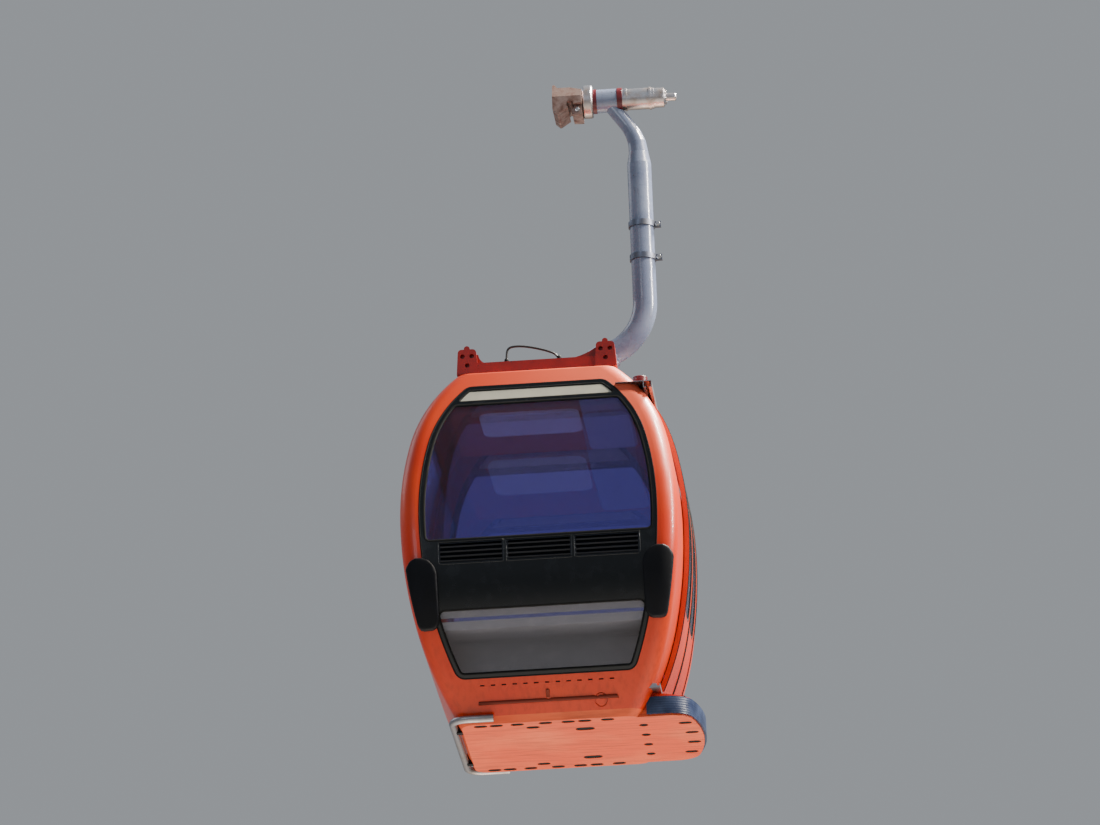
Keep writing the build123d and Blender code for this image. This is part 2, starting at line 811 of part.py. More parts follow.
def on_pin(radius, low, high):
    """A round piece on the upright pin of the lever."""
    return Pos(pin_x, lever_along, (low + high) / 2) * Cylinder(radius, high - low)


lever += [
    on_pin(lever_arm_width / 2, arm_low, arm_top),
    on_pin(lever_arm_width / 3, arm_top, roller_low),
    on_pin(lever_pin_radius, roller_low, roller_top),
]
write_cabin("door_lever", lever)
lever_wheel = on_pin(door_lever_roller / 2, roller_low, roller_top)
lever_wheel = fillet(lever_wheel.edges().filter_by(GeomType.CIRCLE), lever_roller_edge)
lever_wheel -= on_pin(lever_pin_radius + seat_gap, arm_low, roller_top + cut_past)
write_cabin("lever_roller", lever_wheel)

# Hanger, drawn down from the rope axis: a straight tube with its lower bend and tail
bend_angle = math.radians(hanger_bend_angle)
tail_drop = rope_height - frame_high - hanger_tail_rise
hanger_bend_start = tail_drop - hanger_bend_radius * math.sin(bend_angle) - hanger_tail * math.cos(bend_angle)
bend_end = (
    hanger_reach - hanger_bend_radius * (1 - math.cos(bend_angle)),
    -hanger_bend_start - hanger_bend_radius * math.sin(bend_angle),
)
tail_dir = (-math.sin(bend_angle), -math.cos(bend_angle))
tail_end = (bend_end[0] + hanger_tail * tail_dir[0], bend_end[1] + hanger_tail * tail_dir[1])
spine = Wire([
    Line((hanger_reach, 0, -neck_start), (hanger_reach, 0, -hanger_bend_start)),
    TangentArc((hanger_reach, 0, -hanger_bend_start), (bend_end[0], 0, bend_end[1]), tangent=(0, 0, -1)),
    Line((bend_end[0], 0, bend_end[1]), (tail_end[0], 0, tail_end[1])),
])
half_tube = hanger_tube_diameter / 2
tube_start = Plane(origin=spine @ 0, z_dir=spine % 0)
tube_ring = Circle(half_tube) - Circle(half_tube - hanger_tube_wall)
write("hanger_tube", sweep(tube_start * tube_ring, path=spine))

disc_start = jaw_neck_end
ring_start = disc_start + thrust_disc_thick
shaft_start = ring_start + grip_ring_thick
sleeve_start = shaft_start + sleeve_side_gap
sleeve_end = sleeve_start + sleeve_length
shaft_end = sleeve_end + sleeve_side_gap
spring_start = shaft_end + outer_ring_thick
spring_end = spring_start + spring_length
cap_end = spring_end + grip_cap_length


def turned(start, end, diameter):
    """A round piece on the grip axis between two distances from the rope."""
    return Pos((start + end) / 2, 0, grip_axis_rise) * Rot(0, 90, 0) * Cylinder(diameter / 2, end - start)


bore = turned(sleeve_start - cut_past, sleeve_end + cut_past, grip_shaft_diameter + 2 * sleeve_running_gap)
sleeve_middle = (sleeve_start + sleeve_end) / 2

# The tapered neck follows the upper bend from the tube to the sleeve, as x, z and radius down its middle
neck_turn = math.radians(neck_slant)
neck_arc_x = hanger_reach - neck_bend_radius * (1 - math.cos(neck_turn))
neck_arc_top = grip_axis_rise - (neck_arc_x - sleeve_middle) / math.tan(neck_turn)
neck_arc_low = neck_arc_top - neck_bend_radius * math.sin(neck_turn)
neck_table = [(hanger_reach, -neck_start, half_tube)]
for share in neck_shares:
    angle = neck_turn * share
    neck_table.append((
        hanger_reach - neck_bend_radius * (1 - math.cos(angle)),
        neck_arc_low + neck_bend_radius * math.sin(angle),
        half_tube + (neck_slim_radius - half_tube) * (share + 1) / 2,
    ))
neck_table.append((sleeve_middle, grip_axis_rise, neck_slim_radius))


def cone_between(start, end):
    """A tapered round bar from one (x, z, radius) to the next."""
    run = Vector(end[0] - start[0], 0, end[1] - start[1])
    seat = Plane(origin=(start[0], 0, start[1]), z_dir=run)
    slope = math.degrees(math.atan2(start[2] - end[2], run.length))
    return seat * extrude(Circle(start[2]), run.length, taper=slope)


neck = cone_between(neck_table[0], neck_table[1])
for start, end in zip(neck_table[1:], neck_table[2:]):
    neck += Pos(start[0], 0, start[1]) * Sphere(start[2])
    neck += cone_between(start, end)
neck -= turned(sleeve_end, cap_end, grip_ring_diameter + 2 * neck_ring_gap)
head = turned(sleeve_start, sleeve_end, sleeve_diameter) + neck
write("hanger_head", head - bore)

bands = []
for drop in clamp_drops:
    band = Cylinder(half_tube + seat_gap + clamp_band_thick, clamp_band_width)
    lug_x = half_tube + clamp_band_thick + clamp_lug / 2 - clamp_lug_sink
    band += Pos(lug_x, 0, 0) * Box(clamp_lug, clamp_lug_thick, clamp_band_width)
    band -= Cylinder(half_tube + seat_gap, clamp_band_width + cut_past)
    bands.append(Pos(hanger_reach, 0, -drop) * band)
write("hanger_clamps", Compound(children=bands))

# Hanger foot on the middle bars: a base plate, a socket round the tail and two webs under it
foot_top = frame_high + foot_thick
tail_x = tail_end[0] + rope_offset
tail_z = tail_end[1] + rope_height
foot_left = lever_x - foot_length
foot = block((foot_left, lever_x),
             (-middle_bar_spread - frame_rail_width / 2, middle_bar_spread + frame_rail_width / 2),
             (frame_high, foot_top))
tail_plane = Plane(origin=(tail_x, 0, tail_z), z_dir=(-tail_dir[0], 0, -tail_dir[1]))
socket_outer = half_tube + seat_gap + socket_wall
socket = tail_plane * extrude(Circle(socket_outer), socket_length)
socket_top = tail_z - socket_length * tail_dir[1]
web_face = make_face(Polyline(
    (foot_left + web_thick, foot_top),
    (lever_x, foot_top),
    (lever_x, socket_top),
    (tail_x - socket_length * tail_dir[0], socket_top),
    (tail_x, tail_z),
    close=True,
))
webs = [along_y(web_face, y - web_thick / 2, y + web_thick / 2) for y in (-half_tube / 2, half_tube / 2)]
foot += (socket + webs) & block((foot_left, far), (-far, far), (frame_high, far))
foot -= tail_plane * extrude(Circle(half_tube + seat_gap), 3 * socket_length)
write_cabin("hanger_foot", foot)

# Grip on the rope
rope_seat = rope_diameter / 2 + rope_fit
jaw_outer = rope_seat + jaw_wall


def rope_sector(low_angle, high_angle):
    """A wide wedge from the rope axis between two angles from +X."""
    points = [(0, 0)]
    for share in (0, 0.25, 0.5, 0.75, 1):
        angle = math.radians(low_angle + (high_angle - low_angle) * share)
        points.append((far * math.cos(angle), far * math.sin(angle)))
    return make_face(Polyline(*points, close=True))


# The fixed jaw reaches over the rope and hooks down its far side
neck_low = grip_axis_rise - jaw_neck_height / 2
tip_angle = math.radians(jaw_tip_angle)
hook_outline = make_face(Polyline(
    (jaw_neck_end, neck_low),
    (jaw_neck_end, grip_axis_rise + jaw_neck_height / 2),
    (0, jaw_crown),
    (-jaw_hook_reach + jaw_wall, jaw_crown),
    (-jaw_hook_reach, jaw_tip_rise),
    (-jaw_hook_reach, -jaw_hook_drop / 2),
    (-jaw_hook_reach + jaw_wall, -jaw_hook_drop),
    (-rope_seat * math.cos(tip_angle), -rope_seat * math.sin(tip_angle)),
    (0, 0),
    (0, neck_low),
    close=True,
))
hook_outline = fillet([v for v in hook_outline.vertices() if v.X < -rope_seat], jaw_edge_radius)
fixed_jaw = along_y(hook_outline - Circle(rope_seat), -jaw_length / 2, jaw_length / 2)

# Both ends of the jaws run down to slim tongues that lead over the rope sheaves
tongue_face = make_face(Polyline(
    (-jaw_length / 2, jaw_end_crown),
    (-jaw_length / 2 + jaw_end_length, jaw_tip_rise),
    (jaw_length / 2 - jaw_end_length, jaw_tip_rise),
    (jaw_length / 2, jaw_end_crown),
    (jaw_length / 2, -jaw_hook_drop),
    (-jaw_length / 2, -jaw_hook_drop),
    close=True,
))
write("jaw_fixed", fixed_jaw & along_x(tongue_face, -far, far))

# The moving jaw closes under the neck from the near side, with its lug against the disc
moving_outline = Circle(jaw_outer) & rope_sector(jaw_mouth_angle, -jaw_mouth_angle)
lug_top = neck_low - seat_gap
lug_low = lug_top - jaw_hook_drop
moving_outline += Pos((jaw_neck_end + rope_seat) / 2, (lug_top + lug_low) / 2) * Rectangle(
    jaw_neck_end - rope_seat, lug_top - lug_low)
moving_outline &= Pos(0, lug_top - far / 2) * Rectangle(far, far)
moving_jaw = along_y(moving_outline - Circle(rope_seat), -moving_jaw_length / 2, moving_jaw_length / 2)
write("jaw_moving", moving_jaw)
disc = turned(disc_start, ring_start, thrust_disc_diameter)
write("thrust_disc", fillet(disc.edges().filter_by(GeomType.CIRCLE), thrust_disc_edge))
rings = [turned(ring_start, shaft_start, grip_ring_diameter), turned(shaft_end, spring_start, grip_ring_diameter)]
write("grip_rings", Compound(children=rings))
write("grip_shaft", turned(shaft_start, shaft_end, grip_shaft_diameter))
spring_body = turned(spring_start, spring_end, spring_diameter)
for band_start in (spring_start + spring_band_inset, spring_end - spring_band_inset - spring_band_thick):
    spring_body += turned(band_start, band_start + spring_band_thick, spring_diameter + 2 * spring_band_proud)
write("spring_housing", spring_body)
cap = turned(spring_end, cap_end, grip_cap_diameter)
cap = chamfer(cap.edges().group_by(Axis.X)[-1], grip_cap_taper, 2 * grip_cap_taper)
nose = turned(cap_end, cap_end + grip_nose_length, grip_nose_diameter)
write("grip_cap", cap + fillet(nose.edges().group_by(Axis.X)[-1], grip_nose_edge))
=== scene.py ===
import math

import bmesh
import bpy
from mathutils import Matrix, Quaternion, Vector
from mathutils.bvhtree import BVHTree
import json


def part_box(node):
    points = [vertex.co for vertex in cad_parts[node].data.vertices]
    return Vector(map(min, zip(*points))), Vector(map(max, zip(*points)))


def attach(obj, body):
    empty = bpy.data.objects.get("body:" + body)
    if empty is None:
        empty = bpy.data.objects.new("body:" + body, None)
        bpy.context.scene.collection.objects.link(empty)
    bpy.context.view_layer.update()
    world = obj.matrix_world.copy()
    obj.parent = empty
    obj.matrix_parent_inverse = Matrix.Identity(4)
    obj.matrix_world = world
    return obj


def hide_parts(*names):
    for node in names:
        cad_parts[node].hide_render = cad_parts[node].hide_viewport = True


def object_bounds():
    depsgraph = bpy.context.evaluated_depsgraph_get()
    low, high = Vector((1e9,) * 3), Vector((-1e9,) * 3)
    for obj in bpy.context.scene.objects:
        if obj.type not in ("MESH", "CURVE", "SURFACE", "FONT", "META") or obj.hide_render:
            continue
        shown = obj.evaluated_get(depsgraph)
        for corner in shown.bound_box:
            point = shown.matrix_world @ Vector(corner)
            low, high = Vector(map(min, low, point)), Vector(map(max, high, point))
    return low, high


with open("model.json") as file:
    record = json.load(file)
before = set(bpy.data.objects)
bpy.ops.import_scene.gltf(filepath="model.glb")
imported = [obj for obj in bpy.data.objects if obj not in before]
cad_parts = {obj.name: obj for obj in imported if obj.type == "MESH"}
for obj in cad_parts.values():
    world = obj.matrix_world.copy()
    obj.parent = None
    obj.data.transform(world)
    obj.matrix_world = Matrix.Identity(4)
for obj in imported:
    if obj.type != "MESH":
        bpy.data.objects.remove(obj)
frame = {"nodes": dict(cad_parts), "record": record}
cad_low, cad_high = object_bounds()
nodes = frame["nodes"]
MM = 0.001
UP = Vector((0, 0, 1))
DOWN = Vector((0, 0, -1))
ACROSS = Vector((1, 0, 0))
TO_FRONT = Vector((0, -1, 0))

# Where the cabin hangs in the frame, in metres
roof_low, roof_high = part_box("roof_shell")
cabin_x = (roof_low.x + roof_high.x) / 2
pan_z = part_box("base_pan")[0].z


def linear(hex_colour):
    """An sRGB hex colour as linear RGBA."""
    channels = [int(hex_colour[i:i + 2], 16) / 255 for i in (1, 3, 5)]
    out = [c / 12.92 if c <= 0.04045 else ((c + 0.055) / 1.055) ** 2.4 for c in channels]
    return (*out, 1)


def add(tree, kind, settings=None, links=None, out=0):
    """A shader node with its settings and what feeds its inputs; gives one of its outputs."""
    node = tree.nodes.new("ShaderNode" + kind)
    for key, value in (settings or {}).items():
        if isinstance(key, str) and key not in node.inputs:
            setattr(node, key, value)
        else:
            node.inputs[key].default_value = value
    for key, source in (links or {}).items():
        tree.links.new(source, node.inputs[key])
    return node.outputs[out] if node.outputs else node


def start_material(name):
    """An empty material, its tree and the object's own coordinates in metres."""
    material = bpy.data.materials.new(name)
    material.use_nodes = True
    tree = material.node_tree
    tree.nodes.clear()
    return material, tree, add(tree, "TexCoord", out="Object")


# A band texture turns 20 times the position into radians
WAVE_TURN = 2 * math.pi / 20


def lumps(size_mm):
    """The texture scale that makes lumps about so many millimetres across."""
    return 1000 / size_mm


# Painted sunlight: the gel coat is painted paler between these heights over the pan, and more from the left
# side to the door side, where the light falls
PAINTED_SUN_HEIGHTS = (1.2, 2.0)
PAINTED_SUN_SIDES = (-0.6, 0.5)


def gel_coat(
    name, base, bleached, painted_sunlight, grime, gloss, grime_low, grime_high, grime_most, coat, run=(1, 1, 0.12)
):
    """Polished gel coat on moulded panels: soft sun-bleached patches, painted sunlight that makes the top and
    the door side paler, and road film that runs down.
    """
    material, tree, place = start_material(name)
    patch = add(tree, "TexNoise", {"Scale": lumps(420), "Detail": 4.0}, {"Vector": place})
    patch = add(tree, "MapRange", {"From Min": 0.42, "From Max": 0.7}, {"Value": patch})
    colour = add(tree, "Mix", {"data_type": "RGBA", 6: linear(base), 7: linear(bleached)}, {0: patch}, out=2)
    height = add(tree, "SeparateXYZ", links={"Vector": place}, out="Z")
    # Painted sunlight: the roof's edge and the shoulders of the door side are painted paler where the light
    # falls on them
    across = add(tree, "SeparateXYZ", links={"Vector": place}, out="X")
    low, high = [pan_z + level for level in PAINTED_SUN_HEIGHTS]
    raised = add(tree, "MapRange", {"From Min": low, "From Max": high}, {"Value": height})
    left, right = [cabin_x + side for side in PAINTED_SUN_SIDES]
    painted_sun_mask = add(tree, "MapRange", {"From Min": left, "From Max": right}, {"Value": across})
    painted_sun_mask = add(tree, "Math", {"operation": "MULTIPLY", "use_clamp": True}, {0: raised, 1: painted_sun_mask})
    colour = add(tree, "Mix", {"data_type": "RGBA", 7: linear(painted_sunlight)}, {0: painted_sun_mask, 6: colour}, out=2)
    film = add(
        tree,
        "MapRange",
        {"From Min": pan_z + grime_high, "From Max": pan_z + grime_low, "To Max": grime_most},
        {"Value": height},
    )
    # Rain draws the film into streaks about 26 mm wide and eight times as long
    drawn = add(tree, "VectorMath", {"operation": "MULTIPLY", 1: run}, {0: place})
    streak = add(tree, "TexNoise", {"Scale": lumps(26), "Detail": 5.0}, {"Vector": drawn})
    streak = add(tree, "MapRange", {"From Min": 0.46, "From Max": 0.74}, {"Value": streak})
    film = add(tree, "Math", {"operation": "MULTIPLY"}, {0: film, 1: streak})
    colour = add(tree, "Mix", {"data_type": "RGBA", 7: linear(grime)}, {0: film, 6: colour}, out=2)
    # Stone chips about 7 mm across, drawn larger than life so that they show
    chip = add(tree, "TexNoise", {"Scale": lumps(7), "Detail": 2.0}, {"Vector": place})
    chip = add(tree, "MapRange", {"From Min": 0.7, "From Max": 0.8, "To Max": 0.4}, {"Value": chip})
    colour = add(tree, "Mix", {"data_type": "RGBA", 7: linear(grime)}, {0: chip, 6: colour}, out=2)
    sheen = add(tree, "TexNoise", {"Scale": lumps(90), "Detail": 4.0}, {"Vector": place})
    sheen = add(tree, "MapRange", {"To Min": gloss - 0.06, "To Max": gloss + 0.1}, {"Value": sheen})
    peel = add(tree, "TexNoise", {"Scale": lumps(5), "Detail": 2.0}, {"Vector": place})
    peel = add(tree, "Bump", {"Distance": 0.2 * MM, "Strength": 0.3}, {"Height": peel})
    shader = add(
        tree,
        "BsdfPrincipled",
        {"IOR": 1.5, "Specular IOR Level": 0.32, "Coat Weight": coat, "Coat Roughness": 0.12},
        {"Base Color": colour, "Roughness": sheen, "Normal": peel},
    )
    add(tree, "OutputMaterial", links={"Surface": shader})
    return material


def steel_paint(name, base, faded, bare, gloss, coat=0.1):
    """Two-pack paint on welded steel: faded in patches, chipped to primer, with brown runs."""
    material, tree, place = start_material(name)
    patch = add(tree, "TexNoise", {"Scale": lumps(180), "Detail": 5.0}, {"Vector": place})
    patch = add(tree, "MapRange", {"From Min": 0.4, "From Max": 0.68}, {"Value": patch})
    colour = add(tree, "Mix", {"data_type": "RGBA", 6: linear(base), 7: linear(faded)}, {0: patch}, out=2)
    drawn = add(tree, "VectorMath", {"operation": "MULTIPLY", 1: (1, 1, 0.1)}, {0: place})
    run = add(tree, "TexNoise", {"Scale": lumps(20), "Detail": 4.0}, {"Vector": drawn})
    run = add(tree, "MapRange", {"From Min": 0.6, "From Max": 0.8, "To Max": 0.35}, {"Value": run})
    colour = add(tree, "Mix", {"data_type": "RGBA", 7: linear("#5A3A2A")}, {0: run, 6: colour}, out=2)
    chip = add(tree, "TexNoise", {"Scale": lumps(14), "Detail": 3.0}, {"Vector": place})
    chip = add(tree, "MapRange", {"From Min": 0.69, "From Max": 0.73}, {"Value": chip})
    colour = add(tree, "Mix", {"data_type": "RGBA", 7: linear(bare)}, {0: chip, 6: colour}, out=2)
    sheen = add(tree, "TexNoise", {"Scale": lumps(45), "Detail": 4.0}, {"Vector": place})
    sheen = add(tree, "MapRange", {"To Min": gloss - 0.08, "To Max": gloss + 0.12}, {"Value": sheen})
    edge = add(tree, "Bump", {"Distance": 0.15 * MM, "Strength": 0.6, "invert": True}, {"Height": chip})
    shader = add(
        tree,
        "BsdfPrincipled",
        {"IOR": 1.5, "Specular IOR Level": 0.4, "Coat Weight": coat, "Coat Roughness": 0.12},
        {"Base Color": colour, "Roughness": sheen, "Normal": edge},
    )
    add(tree, "OutputMaterial", links={"Surface": shader})
    return material


def turned_steel(name, base, grease_and_shade, gloss, pitch_mm):
    """Zinc-plated turned steel: fine rings round the axis, old grease that dulls it, and painted shade on the
    underside.
    """
    material, tree, place = start_material(name)
    patch = add(tree, "TexNoise", {"Scale": lumps(55), "Detail": 5.0}, {"Vector": place})
    patch = add(tree, "MapRange", {"From Min": 0.4, "From Max": 0.72}, {"Value": patch})
    colour = add(tree, "Mix", {"data_type": "RGBA", 6: linear(base), 7: linear(grease_and_shade)}, {0: patch}, out=2)
    # Grease on the underside, and painted shade: faces that look down are darkened towards the grease colour
    facing = add(tree, "SeparateXYZ", links={"Vector": add(tree, "NewGeometry", out="Normal")}, out="Z")
    under = add(tree, "MapRange", {"From Min": 0.1, "From Max": -0.7, "To Max": 0.8}, {"Value": facing})
    colour = add(tree, "Mix", {"data_type": "RGBA", 7: linear(grease_and_shade)}, {0: under, 6: colour}, out=2)
    # Tool marks are a fraction of a millimetre apart, drawn coarser so that they show
    bands = {"wave_type": "BANDS", "bands_direction": "X", "Scale": lumps(pitch_mm) * WAVE_TURN}
    rings = add(tree, "TexWave", {**bands, "Distortion": 0.6}, {"Vector": place}, out="Fac")
    sheen = add(tree, "MapRange", {"To Min": gloss, "To Max": gloss + 0.16}, {"Value": patch})
    groove = add(tree, "Bump", {"Distance": 0.2 * MM, "Strength": 0.35}, {"Height": rings})
    shader = add(
        tree,
        "BsdfPrincipled",
        {"Metallic": 1.0},
        {"Base Color": colour, "Roughness": sheen, "Normal": groove},
    )
    add(tree, "OutputMaterial", links={"Surface": shader})
    return material


def forged_steel(name, base, rusty, gloss):
    """Drop-forged steel: a scaly skin, brown in the hollows."""
    material, tree, place = start_material(name)
    scale = add(tree, "TexNoise", {"Scale": lumps(38), "Detail": 4.0, "Roughness": 0.5}, {"Vector": place})
    rust = add(tree, "MapRange", {"From Min": 0.35, "From Max": 0.7}, {"Value": scale})
    colour = add(tree, "Mix", {"data_type": "RGBA", 6: linear(base), 7: linear(rusty)}, {0: rust}, out=2)
    sheen = add(tree, "MapRange", {"To Min": gloss, "To Max": gloss + 0.25}, {"Value": rust})
    skin = add(tree, "Bump", {"Distance": 1.2 * MM, "Strength": 0.4}, {"Height": scale})
    shader = add(
        tree,
        "BsdfPrincipled",
        {"Metallic": 0.7},
        {"Base Color": colour, "Roughness": sheen, "Normal": skin},
    )
    add(tree, "OutputMaterial", links={"Surface": shader})
    return material


def moulded(name, base, scuffed, gloss, pebble_mm, pebble_depth, shine=0.5, coat=0.0, lit=0.0):
    """Moulded plastic or rubber: a pebbled skin that scuffs paler in patches, and a lamp's cover glows."""
    material, tree, place = start_material(name)
    scuff = add(tree, "TexNoise", {"Scale": lumps(70), "Detail": 5.0}, {"Vector": place})
    scuff = add(tree, "MapRange", {"From Min": 0.5, "From Max": 0.78}, {"Value": scuff})
    colour = add(tree, "Mix", {"data_type": "RGBA", 6: linear(base), 7: linear(scuffed)}, {0: scuff}, out=2)
    sheen = add(tree, "MapRange", {"To Min": gloss - 0.04, "To Max": gloss + 0.12}, {"Value": scuff})
    pebble = add(tree, "TexVoronoi", {"Scale": lumps(pebble_mm)}, {"Vector": place}, out="Distance")
    pebble = add(tree, "Bump", {"Distance": pebble_depth * MM, "Strength": 0.5}, {"Height": pebble})
    shader = add(
        tree,
        "BsdfPrincipled",
        {
            "IOR": 1.5,
            "Specular IOR Level": shine,
            "Coat Weight": coat,
            "Coat Roughness": 0.1,
            "Emission Color": linear("#FFEFDC"),
            "Emission Strength": lit,
        },
        {"Base Color": colour, "Roughness": sheen, "Normal": pebble},
    )
    add(tree, "OutputMaterial", links={"Surface": shader})
    return material


def extruded(name, base, rubbed, gloss, metallic, pitch_mm, across, depth, clear=0.0):
    """Extruded bar or band: die lines that run its whole length, rubbed paler in patches."""
    material, tree, place = start_material(name)
    rub = add(tree, "TexNoise", {"Scale": lumps(120), "Detail": 5.0}, {"Vector": place})
    rub = add(tree, "MapRange", {"From Min": 0.42, "From Max": 0.72}, {"Value": rub})
    colour = add(tree, "Mix", {"data_type": "RGBA", 6: linear(base), 7: linear(rubbed)}, {0: rub}, out=2)
    sheen = add(tree, "MapRange", {"To Min": gloss - 0.05, "To Max": gloss + 0.12}, {"Value": rub})
    bands = {"wave_type": "BANDS", "bands_direction": across, "Scale": lumps(pitch_mm) * WAVE_TURN}
    line = add(tree, "TexWave", {**bands, "Distortion": 0.3}, {"Vector": place}, out="Fac")
    line = add(tree, "Bump", {"Distance": depth * MM, "Strength": 0.5}, {"Height": line})
    shader = add(
        tree,
        "BsdfPrincipled",
        {"Metallic": metallic, "Transmission Weight": clear},
        {"Base Color": colour, "Roughness": sheen, "Normal": line},
    )
    add(tree, "OutputMaterial", links={"Surface": shader})
    return material


def acrylic(name, tint, haze, body):
    """Blown acrylic sheet, coloured right through: faint waves from the mould and wiping marks."""
    material, tree, place = start_material(name)
    wipe = add(tree, "TexNoise", {"Scale": lumps(55), "Detail": 5.0}, {"Vector": place})
    wiped = {"From Min": 0.4, "From Max": 0.8, "To Min": haze, "To Max": haze + 0.06}
    wipe = add(tree, "MapRange", wiped, {"Value": wipe})
    wave = add(tree, "TexNoise", {"Scale": lumps(260), "Detail": 1.0}, {"Vector": place})
    wave = add(tree, "Bump", {"Distance": 0.6 * MM, "Strength": 0.35}, {"Height": wave})
    shader = add(
        tree,
        "BsdfPrincipled",
        {"Base Color": linear(tint), "Transmission Weight": 1.0, "IOR": 1.49, "Alpha": body},
        {"Roughness": wipe, "Normal": wave},
    )
    add(tree, "OutputMaterial", links={"Surface": shader})
    return material


# Finishes by the record's slots, each named for what the real surface is
FINISHES = {
    # Orange gel coat on the moulded body panels: warm, with a soft gloss, paler in soft patches, and with
    # painted sunlight on the top and the door side
    "orange_paint": gel_coat(
        "orange gel coat", "#B22804", "#BA3408", "#CC5A40", "#5A2410", 0.34, 0.0, 0.9, 0.4, 0.15
    ),
    # Red two-pack paint on the steel roof frame: deeper and flatter than the body
    "roof_red": steel_paint("red frame paint", "#760603", "#8A0E06", "#2E1210", 0.42),
    # Blue-grey lacquered paint on the hanger tube: glossy enough for one long thin highlight
    "hanger_grey": steel_paint("blue grey hanger paint", "#5E6880", "#6E788E", "#46424A", 0.26, 0.6),
    # Zinc-plated and turned steel on the grip: bright with fine rings
    "grip_steel": turned_steel("zinc plated turned steel", "#DCDEE6", "#96857A", 0.28, 4),
    # Forged jaw steel: brownish with old grease
    "jaw_steel": forged_steel("forged jaw steel", "#8E7A74", "#5E4640", 0.42),
    # Cast polyurethane washers: dark red and waxy
    "ring_red": moulded("dark red polyurethane", "#4E0A14", "#66202C", 0.42, 3, 0.1),
    # Dark gel coat round the windows: nearly black and shiny
    "frame_black": moulded("black gel coat", "#02060B", "#040910", 0.26, 6, 0.02, 0.3, 0.2),
    # Tinted acrylic windows: navy with a purple cast
    "tinted_glass": acrylic("navy tinted acrylic", "#6A62C8", 0.02, 0.7),
    # Smoked acrylic low windows: grey and clearer than the main ones, so the bench shows through
    "low_glass": acrylic("smoked acrylic", "#9A9AA6", 0.03, 0.5),
    # Twin-wall polycarbonate strip: milky, with flutes that run up it
    "strip_grey": extruded("milky fluted polycarbonate", "#C2C2B4", "#B0B0A4", 0.4, 0.0, 16, "X", 0.4, 0.4),
    # Vent louvres in dark moulded plastic: matt, so the gaps between them stay black
    "vent_black": moulded("dark moulded louvre plastic", "#040A16", "#081020", 0.5, 2, 0.08, 0.3),
    # Black moulded rubber pads: matt, scuffed grey in patches
    "rubber": moulded("black moulded rubber", "#02040A", "#060912", 0.6, 2.5, 0.15, 0.16),
    # Blue-grey extruded rubber band round the step: semi-matt with grooves along it
    "step_rubber": extruded("blue grey extruded rubber", "#121E3A", "#283654", 0.36, 0.0, 14, "Z", 0.8),
    # Worn extruded aluminium rail: pale and scratched along its length
    "aluminium": extruded("worn extruded aluminium", "#98969A", "#7A7674", 0.42, 1.0, 5, "X", 0.15),
    # Grey moulded seat shells with a fine leather-like grain: pale shapes through the glass
    "seat": moulded("grey moulded seat shell", "#A6A6AC", "#B2B2B8", 0.42, 3, 0.15),
    # Studded rubber floor sheet: dark and dull, with round studs that catch the light
    "floor_cover": moulded("studded rubber floor", "#3A3B40", "#46474C", 0.6, 24, 1.2),
    # Laminate in a smooth pale sheet: the lightest thing inside
    "ceiling_white": moulded("pale ceiling laminate", "#DCD4D0", "#CEC6C2", 0.4, 5, 0.05),
    # Black rubber sheath of the roof lead: dull, a plain dark line on the sky
    "lead_black": moulded("black rubber sheath", "#060708", "#101114", 0.5, 2, 0.1),
}
# The base pan's underside is a paler copy of the same gel coat, painted light that stands in for the light
# bouncing up onto it, with grease drawn out across the cabin
SIDEWAYS = (0.1, 1, 1)
UNDERSIDE_PAINTED_BOUNCE_AND_GREASE = gel_coat(
    "orange gel coat with painted bounce light and grease", "#C8461C", "#D05C34", "#D05C34", "#5A2A18", 0.5, -0.1, 0.4, 0.6, 0.0, SIDEWAYS
)
# Inside, the ceiling is lined in flat orange, which the tinted windows turn to purple
ORANGE_LINING = moulded("orange ceiling lining", "#E0603C", "#D05430", 0.55, 5, 0.1, 0.3)
# Galvanised strip of the band clamps: duller than the turned steel
DULL_ZINC = turned_steel("galvanised strip steel", "#6A7080", "#5A5A5E", 0.4, 6)
# Pale enamel on the door gear's lever plate: smooth and bluish white
PALE_ENAMEL = steel_paint("pale blue enamel", "#98A2C0", "#AEB6CE", "#4A4440", 0.3)
# Sponge rubber of the seals: the dullest black here, so each window has a crisp dark edge
SEAL = moulded("black sponge rubber seal", "#020304", "#050608", 0.75, 1.6, 0.1, 0.2)
# Zinc plate on the bolt heads: small bright glints
ZINC = turned_steel("zinc plated bolt heads", "#D4D4D8", "#96928A", 0.22, 3)
# Painted shadow in the groove across the end panels: a dull red brown strip, paler in patches
GROOVE_SHADOW_STRIP = moulded("painted groove shadow strip", "#5C1A0A", "#6A220E", 0.7, 4, 0.2, 0.25)
# Moulded cap over the drain: dull brown, with a faint grain
BROWN_CAP = moulded("red brown moulded cap", "#6E220C", "#7E2C12", 0.55, 3, 0.1, 0.3)
# Opal acrylic over the ceiling lamp: an even milky sheet, softly lit from behind
OPAL = moulded("opal lamp diffuser", "#E0DCD8", "#D0CCC6", 0.35, 8, 0.05, lit=0.15)
# Finishes that differ from the rest of their slot
OWN_FINISH = {
    "base_pan": UNDERSIDE_PAINTED_BOUNCE_AND_GREASE,
    "hanger_clamps": DULL_ZINC,
    "door_lever": PALE_ENAMEL,
    "ceiling": ORANGE_LINING,
}

slot_of = {row["node"]: row["material_slot"] for row in frame["record"]["subparts"]}
for node_name, node_object in nodes.items():
    node_object.data.materials.clear()
    node_object.data.materials.append(OWN_FINISH.get(node_name, FINISHES[slot_of[node_name]]))


# Edges that turn more than this stay crisp
CREASE = math.radians(38)
JOIN_WITHIN = 0.01 * MM
# A face counts as facing a side where its normal leans at least this far towards it
FACING = 0.5


